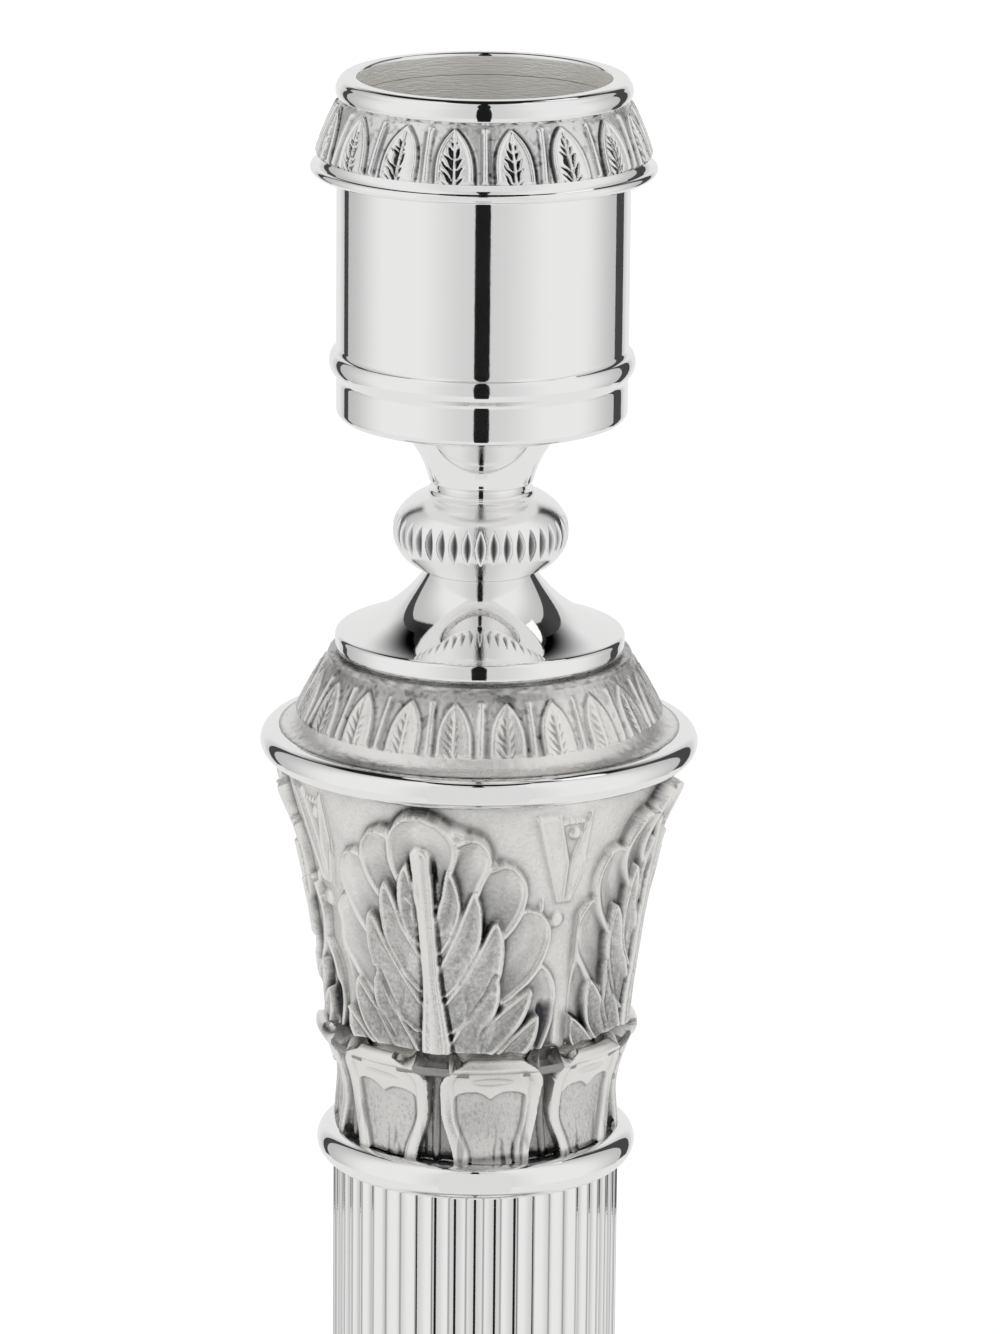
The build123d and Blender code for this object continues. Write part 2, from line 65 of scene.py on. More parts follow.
rim_z = top("socket_collar")
collar_low = low("socket_collar")
cup_low = low("socket_cup")
cup_floor = cup_low + FLOOR_T
neck_low = low("socket_neck")
knop_low = low("knop")
seat_z = low("spreader_foot")
abacus_top = top("abacus_ring")
abacus_low = low("abacus_ring")
calyx_top = top("leaf_calyx")
calyx_low = low("leaf_calyx")
astragal_low = low("astragal_ring")
column_low = low("column_tube")
base_collar_low = low("base_collar")
dome_low = low("base_dome")
band_low = low("base_leaf_band")
rim_low = low("base_rim")
plate_top = rim_low + 2.2
bore_r = 11.5
column_r = 13.3


# ---- Outlines ----------------------------------------------------------------------------------

def line(start, end, steps=2):
    return [tuple(p) for p in np.linspace(start, end, steps)]


def arc(start, through, end, steps=12):
    """Points along the circle through three points, both ends included."""
    a, b, c = (complex(*p) for p in (start, through, end))
    w = (c - a) / (b - a)
    centre = a + (b - a) * (w - abs(w) ** 2) / (2j * w.imag)
    first = np.angle(a - centre)
    last = np.angle(c - centre)
    middle = np.angle(b - centre)
    turn = (last - first) % (2 * math.pi)
    if (middle - first) % (2 * math.pi) > turn:
        turn -= 2 * math.pi
    angles = first + turn * np.linspace(0, 1, steps)
    radius = abs(a - centre)
    return [(centre.real + radius * math.cos(t), centre.imag + radius * math.sin(t)) for t in angles]


def resampled(points, spacing):
    """The same line with points at an even spacing."""
    p = np.array(points)
    along = np.concatenate([[0], np.cumsum(np.hypot(*np.diff(p, axis=0).T))])
    steps = max(2, int(round(along[-1] / spacing)) + 1)
    even = np.linspace(0, along[-1], steps)
    return list(zip(np.interp(even, along, p[:, 0]), np.interp(even, along, p[:, 1])))


# ---- Swept meshes ------------------------------------------------------------------------------

def turned(name, body, stretches, segments=256, start=0.0, sweep=360.0, nodes=(), sharp=50):
    """A closed ring, or a sector of one, swept round the axis. Each stretch of its outline is
    (points, material) or (points, material, relief). A relief gives heights along the normals and
    two vertex values: one dark where recesses hold oxide and where shade or dark reflections are
    painted, and polish, bright where the surface is rubbed."""
    whole = sweep == 360.0
    rows = segments if whole else segments + 1
    azimuths = np.radians(start + np.linspace(0, sweep, rows, endpoint=not whole))[:, None]
    outline = np.array([p for s in stretches for p in s[0]])
    count = len(outline)
    tangent = np.roll(outline, -1, axis=0) - np.roll(outline, 1, axis=0)
    tangent /= np.maximum(np.hypot(*tangent.T), 1e-9)[:, None]
    normal = np.stack([-tangent[:, 1], tangent[:, 0]], axis=1)
    radius = np.repeat(outline[None, :, 0], rows, axis=0)
    level = np.repeat(outline[None, :, 1], rows, axis=0)
    oxide_and_painted_shade = np.zeros((rows, count))
    polish = np.ones((rows, count))
    first = 0
    material_of = np.zeros(count, int)
    materials = []
    for stretch in stretches:
        span = slice(first, first + len(stretch[0]))
        if stretch[1] not in materials:
            materials.append(stretch[1])
        material_of[span] = materials.index(stretch[1])
        if len(stretch) > 2:
            height, dark, bright = stretch[2](azimuths, outline[span])
            radius[:, span] += height * normal[span, 0]
            level[:, span] += height * normal[span, 1]
            oxide_and_painted_shade[:, span] = dark
            polish[:, span] = bright
        first += len(stretch[0])
    points = np.stack([radius * np.sin(azimuths), -radius * np.cos(azimuths), level], axis=2) * MM
    i = np.arange(segments)[:, None]
    j = np.arange(count)[None, :]
    after = (i + 1) % rows
    beside = (j + 1) % count
    corners = (i * count + j, i * count + beside, after * count + beside, after * count + j)
    faces = np.stack(corners, axis=2).reshape(-1, 4).tolist()
    if not whole:
        faces.append(list(range(count))[::-1])
        faces.append(list(range(segments * count, rows * count)))
    mesh = bpy.data.meshes.new(name)
    mesh.from_pydata(points.reshape(-1, 3), [], faces)
    face_materials = np.zeros(len(faces), np.int32)
    face_materials[: segments * count] = np.tile(material_of, segments)
    mesh.polygons.foreach_set("material_index", face_materials)
    mesh.polygons.foreach_set("use_smooth", np.ones(len(faces), bool))
    for value_name, values in (("oxide_and_painted_shade", oxide_and_painted_shade), ("polish", polish)):
        attribute = mesh.attributes.new(value_name, "FLOAT", "POINT")
        attribute.data.foreach_set("value", np.clip(values, 0, 1).astype(np.float32).ravel())
    mesh.set_sharp_from_angle(angle=math.radians(sharp))
    for material in materials:
        mesh.materials.append(material)
    mesh.update()
    piece = bpy.data.objects.new(name, mesh)
    bpy.context.scene.collection.objects.link(piece)
    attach(piece, body)
    if nodes:
        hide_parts(*nodes)
    return piece


# ---- Relief helpers ----------------------------------------------------------------------------

def smooth(low_edge, high_edge, x):
    t = np.clip((x - low_edge) / (high_edge - low_edge), 0, 1)
    return t * t * (3 - 2 * t)


def rounded(distance, half_width):
    """1 on a ridge's crest, falling like a half round to 0 at its edge."""
    return np.sqrt(np.clip(1 - (distance / half_width) ** 2, 0, 1))


def filtered(field, sigma):
    """The field blurred by a Gaussian of sigma grid steps in each direction, wrapping round."""
    f0 = np.fft.fftfreq(field.shape[0])[:, None]
    f1 = np.fft.fftfreq(field.shape[1])[None, :]
    response = np.exp(-2 * (math.pi ** 2) * ((f0 * sigma[0]) ** 2 + (f1 * sigma[1]) ** 2))
    return np.real(np.fft.ifft2(np.fft.fft2(field) * response))


def grain(shape, sigma, seed):
    """Seeded smooth noise with a spread of 1."""
    noise = filtered(np.random.default_rng(seed).standard_normal(shape), sigma)
    return noise / noise.std()


def cavities(height, reach, gain):
    """How deep each point lies below its surroundings."""
    return np.clip(gain * (filtered(height, (reach, reach)) - height), 0, 1)


def petal(x, y, base, bend, tip, width, blunt):
    """Distance inside a curved petal's outline, negative outside, and the place along its axis. The
    axis is a quadratic curve from base to tip. A large blunt keeps the petal wide up to its tip."""
    t = np.linspace(0, 1, 64)[:, None]
    axis = (1 - t) ** 2 * np.array(base) + 2 * t * (1 - t) * np.array(bend) + t ** 2 * np.array(tip)
    nearest = np.full(x.shape, 1e9)
    place = np.zeros(x.shape)
    for share, (ax, ay) in zip(t[:, 0], axis):
        distance = np.hypot(x - ax, y - ay)
        closer = distance < nearest
        nearest = np.where(closer, distance, nearest)
        place = np.where(closer, share, place)
    taper = np.sqrt(np.clip(1 - place ** blunt, 0, 1))
    belly = 0.8 + 0.2 * np.sin(math.pi * place)
    return 0.5 * width * taper * belly - nearest, place


def foliage(x, y, petals, blunt):
    """A layer of petals side by side: distance inside the nearest petal's outline, the place along
    it, and how far the next petal's outline is, so that a vein can be cut between the two."""
    inside = np.full(x.shape, -9.0)
    second = np.full(x.shape, -9.0)
    place = np.zeros(x.shape)
    for base, bend, tip, width in petals:
        depth, along = petal(x, y, base, bend, tip, width, blunt)
        second = np.maximum(second, np.minimum(inside, depth))
        place = np.where(depth > inside, along, place)
        inside = np.maximum(inside, depth)
    return inside, place, second


# ---- Leaf bands: lancet leaves with darts between them -----------------------------------------

def leaf_band(count, turn, leaf_height, leaf_width, cut_depth, wear, seed, scale=1.0):
    """The relief of a cast band of upright leaves. Lengths are in millimetres, times scale. wear
    softens it from 0, crisp, to 1, rubbed and grainy."""

    def relief(azimuths, outline):
        along = np.concatenate([[0], np.cumsum(np.hypot(*np.diff(outline, axis=0).T))])
        y = (along[-1] - along)[None, :] / scale
        r = outline[None, :, 0]
        pitch = 2 * math.pi / count
        cell = (azimuths - math.radians(turn)) / pitch
        number = np.round(cell).astype(int) % count
        gap_number = np.floor(cell).astype(int) % count
        x = (cell - np.round(cell)) * pitch * r / scale
        x_dart = (cell - np.floor(cell) - 0.5) * pitch * r / scale
        rng = np.random.default_rng(seed)
        # every leaf and dart differs a little
        left_cut = rng.uniform(0.85, 1.2, count)[number]
        right_cut = rng.uniform(0.3, 0.75, count)[number]
        lean = rng.uniform(-0.12, 0.04, count)[number]
        shade = rng.uniform(0.3, 1.0, count)[number]
        dart_lean = rng.uniform(-0.12, 0.12, count)[gap_number]
        dart_shade = rng.uniform(0.3, 1.0, count)[gap_number]
        rise = np.clip(y / leaf_height, 0, 1.3)
        x = x - lean * y
        x_dart = x_dart - dart_lean * (y - leaf_height / 2) * 0.5
        half = leaf_width / 2 * np.clip(1 - rise ** 3.05, 0, 1)
        edge = np.where(rise < 1, half - np.abs(x), -0.3)
        inside = smooth(-0.02, 0.14, edge)
        frame_edge = rounded(edge - 0.2, 0.22)
        side = np.where(x > 0, shade, 1.3 - shade)
        groove = rounded(edge + 0.10, 0.11 + 0.10 * side) * smooth(1.2, 1.05, rise)
        vein = rounded(x - 0.06 * np.sin(3 * rise), 0.15 * (1.2 - 0.7 * rise)) * smooth(0.95, 0.86, rise)
        slant = (y - 0.9 * np.abs(x)) / 0.86 + 0.18 * grain(x.shape, (9, 4), seed + 3)
        saw = slant - np.floor(slant)
        reach = np.where(x < 0, left_cut, right_cut) * (0.10 + 1.05 * saw ** 1.5)
        reach = reach * smooth(0.92, 0.35, rise)
        cut = smooth(0, 0.14, reach * leaf_width / 3.6 - (np.abs(x) - 0.12))
        cut = cut * smooth(0.10, 0.2, np.abs(x)) * smooth(0.2, 0.4, edge)
        dart_top = 0.95 * leaf_height
        stem = rounded(x_dart, 0.24 + 0.05 * (1 - rise)) * smooth(dart_top + 0.1, dart_top - 0.1, y)
        head = rounded(np.hypot(x_dart, 1.3 * (y - dart_top)), 0.38)
        flank = rounded(x_dart - 0.42, 0.22) * dart_shade
        flank = flank + rounded(x_dart + 0.38, 0.14) * (1 - dart_shade)
        flank = flank * smooth(dart_top + 0.2, dart_top - 0.6, y)
        rough = grain(x.shape, (1.6, 1.6), seed + 1)
        blotches = grain(x.shape, (5, 4), seed + 4)
        wander = grain(x.shape, (34, 16), seed + 2)
        raised_part = np.maximum(inside, np.maximum(stem, head))
        height = 0.15 * inside + 0.11 * frame_edge + 0.13 * vein - cut_depth * cut - 0.12 * groove
        height = height + 0.24 * np.maximum(stem, head) - 0.10 * flank
        blur = 0.7 + 1.2 * wear
        height = filtered(height, (blur, blur))
        specks = smooth(0.4, 2.4, rough + 0.7 * blotches) * (1 - 0.85 * raised_part)
        height = scale * (height + 0.008 * (wear + 0.7 * (1 - raised_part)) * rough - 0.02 * specks)
        ends = smooth(0, 0.2, y) * smooth(along[-1] / scale, along[-1] / scale - 0.15, y)
        ground = 1 - raised_part
        strength = 1 - 0.4 * wear
        dark = cavities(height, 3.5, 3.0)
        dark = dark + strength * (0.72 * cut + 0.55 * groove * side + 0.42 * flank)
        dark = dark + (0.12 + 0.05 * wander) * ground + 0.3 * specks + 0.08 * wear * wander
        dark = dark + 0.22 * wear * smooth(0.55, 1.1, rise) * ground
        bright = 0.45 + 0.55 * raised_part - 0.6 * dark - 0.2 * wear
        return height * ends, dark, np.clip(bright, 0, 1)

    return relief


# ---- Capital: acanthus leaf, forked stem between the leaves, small leaves of the calyx ---------

# Heights on the leaf are in millimetres above the calyx.
LEAF_AZIMUTH = -16.2
FORK_AZIMUTH = 28.8
FORK_LEVEL = 14.7            # where its two arms part
RIB_TOP = 20.9
CURL_START = 17.5            # above this the leaf curls forwards
CURL_END = 24.0

# Petals are base, bend, tip and width. The back layer has broad lobes with round ends, listed from
# the lowest, which the others overlap, to the top one.
LOBES = (
    ((-4.6, -3.0), (-8.6, 2.0), (-9.4, 9.0), 5.6),
    ((4.6, -3.0), (8.8, 2.0), (9.6, 9.0), 5.6),
    ((-3.2, 6.0), (-7.2, 9.4), (-9.0, 14.6), 6.4),
    ((3.2, 6.4), (7.6, 9.8), (9.5, 14.4), 6.6),
    ((-2.0, 10.5), (-5.6, 13.8), (-8.0, 19.4), 6.4),
    ((2.0, 11.0), (5.4, 13.6), (7.8, 19.2), 6.2),
    ((-0.6, 14.0), (-2.8, 17.2), (-5.3, 22.2), 6.2),
    ((0.6, 14.0), (2.6, 17.2), (4.9, 22.2), 5.8),
    ((-0.2, 17.0), (-0.4, 20.8), (-0.5, 24.3), 6.8),
)
# The front leaf has pointed fingers: six on the left, then six on the right.
FINGERS = (
    ((-5.6, -1.2), (-7.8, 0.4), (-9.2, 3.3), 2.4),
    ((-3.6, -0.4), (-6.2, 2.2), (-7.6, 6.6), 2.9),
    ((-1.7, -0.8), (-4.5, 2.6), (-5.3, 8.2), 2.7),
    ((-1.1, 3.2), (-4.8, 7.2), (-5.9, 13.6), 3.2),
    ((-0.6, 7.0), (-3.8, 11.2), (-4.0, 17.0), 2.9),
    ((-0.3, 11.0), (-2.5, 14.4), (-1.7, 19.2), 2.4),
    ((5.2, -1.2), (7.8, 0.6), (9.3, 4.0), 2.4),
    ((3.2, 0.0), (6.4, 2.6), (8.8, 6.6), 2.9),
    ((1.4, -0.8), (4.3, 2.8), (5.7, 8.6), 2.9),
    ((0.9, 3.2), (5.5, 7.2), (6.1, 13.6), 3.4),
    ((0.7, 6.8), (4.0, 10.8), (4.4, 16.7), 2.9),
    ((0.4, 10.8), (2.7, 14.2), (2.1, 18.9), 2.4),
)
LOBE_BLUNTNESS = 6.0
FINGER_BLUNTNESS = 2.8


def back_lobes(x, y):
    """Heights of the back layer. Each dished lobe laps over the one below it. Also the distance
    inside the layer's outline and how near each point is to a lobe's raised edge."""
    envelope = ((np.abs(x) / 8.9) ** 2.4 + (np.abs(y - 8) / 16) ** 2.4) ** (1 / 2.4)
    layer = 9 * (0.965 - envelope)
    height = 0.30 * smooth(-0.05, 0.16, layer)
    edge = np.zeros(x.shape)
    curl = 0.75 * smooth(CURL_START, CURL_END, y)
    for number, (base, bend, tip, width) in enumerate(LOBES):
        depth, place = petal(x, y, base, bend, tip, width, LOBE_BLUNTNESS)
        rim = rounded(depth - 0.36, 0.36)
        cover = smooth(-0.04, 0.14, depth)
        dish = 0.34 + 0.20 * place + 0.17 * rim - 0.38 * smooth(0.3, 2.4, depth) + 0.03 * number
        height = height * (1 - cover) + dish * cover
        edge = edge * (1 - cover) + rim * cover
        layer = np.maximum(layer, depth)
    return height + curl * smooth(-0.05, 0.16, layer), layer, edge


def fork(x, y):
    """The forked stem between two leaves, with its balls, beads, tear and stalk."""
    rise = y - FORK_LEVEL
    outer = 0.85 + 0.33 * np.clip(rise, 0, 9)
    inner = 0.30 * np.clip(rise - 4.2, 0, 9)
    from_inner = np.abs(x - 0.35) - inner
    arms = smooth(0, 0.2, outer - np.abs(x - 0.2)) * smooth(0, 0.16, from_inner)
    arms = arms * smooth(-0.35, 0.25, rise) * smooth(9.1, 8.7, rise)
    outer_edge = rounded(outer - np.abs(x - 0.2) - 0.24, 0.22)
    arm_edge = np.maximum(outer_edge, rounded(from_inner - 0.2, 0.2)) * arms
    ball = rounded(np.hypot(x - 0.55, rise - 6.9), 0.66)
    small_ball = rounded(np.hypot(x + 0.3, rise + 1.7), 0.8)
    tear = rounded(np.hypot((x + 1.9) / 0.5, (rise + 0.3) / 1.5), 0.62)
    bead_x = x - 0.5 - 0.55 * np.round((x - 0.5) / 0.55)
    beads = rounded(np.hypot(bead_x, rise - 8.0), 0.27) * (np.abs(x - 0.5) < 1.6)
    bars = 0.22 * arms + 0.16 * arm_edge
    return np.maximum.reduce([bars, 0.42 * ball, 0.36 * small_ball, 0.3 * tear, 0.28 * beads])


def bell_relief(azimuths, outline):
    """One quarter of the bell's ornament: a leaf in two layers with a rib, and a fork beside it."""
    r = outline[None, :, 0]
    level = outline[None, :, 1]
    y = np.repeat(level - calyx_top, len(azimuths), axis=0)
    x = (azimuths - math.radians(LEAF_AZIMUTH)) * r
    x_fork = (azimuths - math.radians(FORK_AZIMUTH)) * r
    wobble = 0.16 * grain(x.shape, (16, 16), 34)
    finger, finger_place, finger_next = foliage(x + 0.5 * wobble, y, FINGERS, FINGER_BLUNTNESS)
    back, lobe, lobe_edge = back_lobes(x + wobble, y)

    # front leaf: fingers with raised edges that grow out of a palm
    x_rib = x - 0.3 + 0.035 * y
    palm_half = 1.6 + 2.6 * np.clip(1 - y / 16, 0, 1) ** 1.4
    palm = smooth(0.5, -0.5, np.abs(x_rib) - palm_half) * smooth(18.5, 16.5, y)
    finger_edge = rounded(finger - 0.2, 0.24)
    cleft = rounded(finger - finger_next, 0.42) * smooth(-0.3, 0.1, finger_next) * (1 - 0.75 * palm)
    blade = 0.66 + 0.24 * finger_place + 0.24 * finger_edge
    blade = blade - 0.26 * smooth(0.3, 1.2, finger) - 0.30 * cleft
    front = np.maximum(smooth(-0.05, 0.14, finger) * blade, 0.60 * palm)
    front = front + 0.35 * smooth(CURL_START, CURL_END, y) * (finger > 0)

    # rib: half round, wider at its foot, with a round end
    rib_half = 0.78 + 0.55 * smooth(8, 0, y) + 0.20 * smooth(12, RIB_TOP, y)
    rib_q = np.hypot(x_rib / rib_half, np.maximum(y - RIB_TOP + rib_half, 0) / rib_half)
    off_rib = rib_q >= 1
    crown = 0.82 + 0.38 * rounded(rib_q, 1.0) - 0.10 * rounded(rib_q - 0.45, 0.14)
    rib = np.where(off_rib, 0, crown)
    flank = rounded(np.abs(x_rib) - rib_half - 0.12, 0.2) * smooth(RIB_TOP - 0.6, RIB_TOP - 2.5, y)
    flank = flank * off_rib
    slot = smooth(1.15, 0.7, np.abs(x_fork + 0.5)) * smooth(5.6, 4.2, y)
    height = np.maximum.reduce([back, front, rib, fork(x_fork, y)]) - 0.16 * flank - 0.3 * slot
    height = filtered(height, (1.0, 1.0)) + 0.02 * grain(x.shape, (18, 14), 33)

    # oxide in dark recesses, painted shade beside the front leaf and right of the rib, and dull, grainy
    # fingers; bright edges and lobes
    matte = grain(x.shape, (0.85, 0.85), 31)
    mottle = grain(x.shape, (4, 4), 32)
    clouds = grain(x.shape, (26, 22), 35)
    on_front = smooth(-0.1, 0.1, finger) * off_rib
    on_back = smooth(-0.1, 0.1, lobe) * (1 - on_front) * off_rib
    # the narrow cavity term is oxide in the recesses; the wide one is painted shade round the front leaf
    hollow_oxide_and_shade = cavities(height, 3.5, 1.7) + cavities(height, 11, 0.42)
    crest = np.clip(6.0 * (height - filtered(height, (4, 4))) - 0.05, 0, 1)
    dull = (1 - crest) * (0.35 + 0.65 * np.maximum(on_front, palm))
    # painted shade: the back lobes darken towards the front leaf that overlaps them, over the oxide in
    # their dishes
    lobe_oxide_and_shade = on_back * (1 - lobe_edge) * smooth(-3.5, 0.3, finger)
    # painted shadow: the groove to the right of the rib is painted darker than the one on its left
    rib_shadow_side = 0.5 + 0.5 * np.sign(x_rib)
    dark = 0.02 + hollow_oxide_and_shade + 0.5 * slot + (0.10 + 0.14 * rib_shadow_side) * flank - 0.5 * crest
    dark = dark + (0.26 + 0.08 * smooth(9, 2, y)) * on_front + 0.36 * lobe_oxide_and_shade
    dark = dark + dull * (0.07 * matte + 0.03 * mottle) + 0.04 * clouds
    bright = 0.3 + crest + 0.5 * on_back * (1 + 0.3 * clouds) + 0.3 * lobe_edge * on_back
    bright = bright - 0.5 * hollow_oxide_and_shade + 0.5 * smooth(21.4, 22.6, y) * on_back
    height = height + 0.007 * dull * matte
    fade = smooth(0, 0.3, level - calyx_top) * smooth(0, 0.5, abacus_low - level)
    return height * fade, dark, np.clip(bright, 0, 1)


CALYX_AZIMUTH = 6.0
CALYX_LEAVES = 8
CALYX_FACE_R = 13.4          # widths on a calyx leaf are measured here
CALYX_BACK_R = 12.45         # the surface between two leaves


def calyx_relief(azimuths, outline):
    """Small leaves that curl outwards at the top. Between them the surface falls back to a
    cylinder, so the heights here are mostly radial."""
    r = outline[None, :, 0]
    y = outline[None, :, 1] - calyx_low
    pitch = 2 * math.pi / CALYX_LEAVES
    cell = (azimuths - math.radians(CALYX_AZIMUTH)) / pitch
    shape = (len(azimuths), len(outline))
    x = (cell - np.round(cell)) * pitch * CALYX_FACE_R + 0.10 * grain(shape, (30, 14), 42)
    y = y + 0.16 * grain(shape, (40, 20), 43)
    side = np.abs(x)
    half = 3.55 + 1.2 * smooth(-0.5, 5.0, y) + 0.1 * smooth(5, 9, y)
    corner = np.clip(y - 7.3, 0, 3) ** 2 * 0.32
    edge = half - corner - side
    leaf = smooth(-0.06, 0.16, edge)
    frame_bar = rounded(edge - 0.62, 0.66)
    panel_half = 2.15 + 1.25 * smooth(0, 4.5, y)
    point = np.clip(1 - side / 1.3, 0, 1) ** 1.5
    panel_top = 6.9 - 0.75 * point - 0.28 * np.clip(side - 2.0, 0, 3) ** 2
    panel = smooth(0, 0.35, panel_half - side) * smooth(0, 0.35, panel_top - y) * smooth(-0.2, 0.3, y)
    crease = rounded(panel_half - side - 0.15, 0.2) * smooth(0, 0.5, panel_top - y)
    dent = rounded(np.hypot(x / 1.9, (y - 7.9) / 0.42), 1.0)
    matte = grain(shape, (0.85, 0.85), 41)
    surface = 0.20 * frame_bar * smooth(10.0, 7.5, y) - 0.30 * panel - 0.08 * crease - 0.12 * dent
    fall = np.minimum(CALYX_BACK_R - r, 0)
    gap_bar = 0.34 * rounded(np.abs(side - pitch * 6.7), 0.42) * smooth(9.5, 3.0, y)
    cracks = smooth(0.9, 2.0, grain(shape, (2, 9), 44)) * smooth(4.5, 1.0, y)
    height = leaf * surface + (1 - leaf) * (fall + gap_bar)
    height = height + 0.012 * matte * np.maximum(panel, 1 - leaf)
    dark = (1 - leaf) * 0.62 + leaf * (0.34 * crease + 0.16 * panel)
    dark = dark + 0.10 * np.clip(matte, 0, 2) * panel + cavities(height, 3.0, 1.6) * leaf
    dark = dark + 0.5 * smooth(0.7, 0.0, y) + 0.4 * cracks
    bright = leaf * np.clip(1 - 1.1 * panel - 0.5 * crease, 0, 1) * smooth(-0.2, 1.5, y)
    return height, dark, bright


# ---- Materials ---------------------------------------------------------------------------------

def node_maker(material):
    """The material's emptied node tree, and a function that adds a node with constant inputs."""
    material.use_nodes = True
    tree = material.node_tree
    tree.nodes.clear()

    def make(kind, inputs=None, **settings):
        node = tree.nodes.new(kind)
        for key, value in settings.items():
            setattr(node, key, value)
        for key, value in (inputs or {}).items():
            node.inputs[key].default_value = value
        return node

    return tree, make


def plug(tree, source, target):
    tree.links.new(source, target)


def metal(name, silver, dark, cool, glossy, matte, grain_size, bump, streak=(1, 1, 1), metallic=1.0):
    """Metal whose colour darkens with the vertex value of oxide and painted shade, and whose gloss
    follows polish. Its colour drifts between silver and cool, and its roughness runs from glossy to
    matte."""
    material = bpy.data.materials.new(name)
    tree, make = node_maker(material)
    out = make("ShaderNodeOutputMaterial")
    shader = make("ShaderNodeBsdfPrincipled", {"Metallic": metallic})
    plug(tree, shader.outputs["BSDF"], out.inputs["Surface"])
    place = make("ShaderNodeTexCoord")
    stretch = make("ShaderNodeMapping", {"Scale": streak})
    plug(tree, place.outputs["Object"], stretch.inputs["Vector"])
    clouds = make("ShaderNodeTexNoise", {"Scale": 160.0, "Detail": 4.0})
    plug(tree, place.outputs["Object"], clouds.inputs["Vector"])
    fine = make("ShaderNodeTexNoise", {"Scale": grain_size, "Detail": 3.0})
    plug(tree, stretch.outputs["Vector"], fine.inputs["Vector"])
    oxide_and_painted_shade = make("ShaderNodeAttribute", attribute_name="oxide_and_painted_shade")
    polish = make("ShaderNodeAttribute", attribute_name="polish")
    dull = make("ShaderNodeMath", {0: 1.0}, operation="SUBTRACT", use_clamp=True)
    plug(tree, polish.outputs["Fac"], dull.inputs[1])

    # oxide in recesses and painted shade, broken up by the fine grain where the surface is dull
    broken = make("ShaderNodeMath", {1: 0.25, 2: -0.12}, operation="MULTIPLY_ADD")
    plug(tree, fine.outputs["Fac"], broken.inputs[0])
    gate = make("ShaderNodeMath", operation="MULTIPLY")
    plug(tree, broken.outputs[0], gate.inputs[0])
    plug(tree, dull.outputs[0], gate.inputs[1])
    depth = make("ShaderNodeMath", operation="ADD", use_clamp=True)
    plug(tree, oxide_and_painted_shade.outputs["Fac"], depth.inputs[0])
    plug(tree, gate.outputs[0], depth.inputs[1])
    tint = make("ShaderNodeMix", {"A": (*silver, 1), "B": (*cool, 1)}, data_type="RGBA")
    plug(tree, clouds.outputs["Fac"], tint.inputs["Factor"])
    colour = make("ShaderNodeMix", {"B": (*dark, 1)}, data_type="RGBA")
    plug(tree, depth.outputs[0], colour.inputs["Factor"])
    plug(tree, tint.outputs["Result"], colour.inputs["A"])
    plug(tree, colour.outputs["Result"], shader.inputs["Base Color"])

    # gloss and fine bumps
    gloss = make("ShaderNodeMapRange", {"To Min": glossy, "To Max": matte})
    plug(tree, dull.outputs[0], gloss.inputs["Value"])
    wear = make("ShaderNodeMath", {1: 0.06}, operation="MULTIPLY_ADD")
    plug(tree, clouds.outputs["Fac"], wear.inputs[0])
    plug(tree, gloss.outputs["Result"], wear.inputs[2])
    plug(tree, wear.outputs[0], shader.inputs["Roughness"])
    bumps = make("ShaderNodeBump", {"Strength": bump, "Distance": 0.0001})
    plug(tree, fine.outputs["Fac"], bumps.inputs["Height"])
    plug(tree, bumps.outputs["Normal"], shader.inputs["Normal"])
    return material


def cloth_like(name, light, dark, scale):
    """A matte surface of fine mixed fibres or grains."""
    material = bpy.data.materials.new(name)
    tree, make = node_maker(material)
    out = make("ShaderNodeOutputMaterial")
    shader = make("ShaderNodeBsdfPrincipled", {"Roughness": 0.95, "Sheen Weight": 0.3})
    plug(tree, shader.outputs["BSDF"], out.inputs["Surface"])
    place = make("ShaderNodeTexCoord")
    fibres = make("ShaderNodeTexNoise", {"Scale": scale, "Detail": 6.0})
    plug(tree, place.outputs["Object"], fibres.inputs["Vector"])
    colour = make("ShaderNodeMix", {"A": (*dark, 1), "B": (*light, 1)}, data_type="RGBA")
    plug(tree, fibres.outputs["Fac"], colour.inputs["Factor"])
    plug(tree, colour.outputs["Result"], shader.inputs["Base Color"])
    bumps = make("ShaderNodeBump", {"Strength": 0.6, "Distance": 0.0004})
    plug(tree, fibres.outputs["Fac"], bumps.inputs["Height"])
    plug(tree, bumps.outputs["Normal"], shader.inputs["Normal"])
    return material


# Each metal: main colour, colour of oxide in recesses and of painted shade, cool tint, roughness
# where polished and where dull, grain size and bump strength.
SILVER = (0.93, 0.925, 0.915)
polished = metal("polished_silver", SILVER, (0.2, 0.2, 0.2), (0.91, 0.91, 0.91),
                 0.015, 0.2, 3000, 0.01)
antique = metal("antique_silver", (0.91, 0.89, 0.86), (0.045, 0.046, 0.05), (0.79, 0.785, 0.77),
                0.05, 0.31, 9000, 0.4)
crisp = metal("crisp_cast_silver", (0.92, 0.91, 0.89), (0.04, 0.042, 0.046), (0.86, 0.87, 0.87),
              0.07, 0.42, 9000, 0.14)
reeded = metal("reeded_silver", SILVER, (0.1, 0.1, 0.1), (0.9, 0.9, 0.9),
               0.012, 0.2, 3000, 0.01)
inside = metal("turned_silver", (0.84, 0.825, 0.795), (0.3, 0.3, 0.3), (0.70, 0.685, 0.655),
               0.34, 0.4, 9000, 0.6, streak=(0.10, 0.10, 1.0), metallic=0.5)
brass = metal("turned_brass", (0.78, 0.60, 0.30), (0.2, 0.14, 0.06), (0.70, 0.53, 0.27),
              0.18, 0.3, 3000, 0.2, streak=(0.2, 0.2, 3.0))
steel = metal("zinc_steel", (0.60, 0.61, 0.63), (0.2, 0.2, 0.2), (0.50, 0.52, 0.54),
              0.26, 0.4, 4000, 0.3)
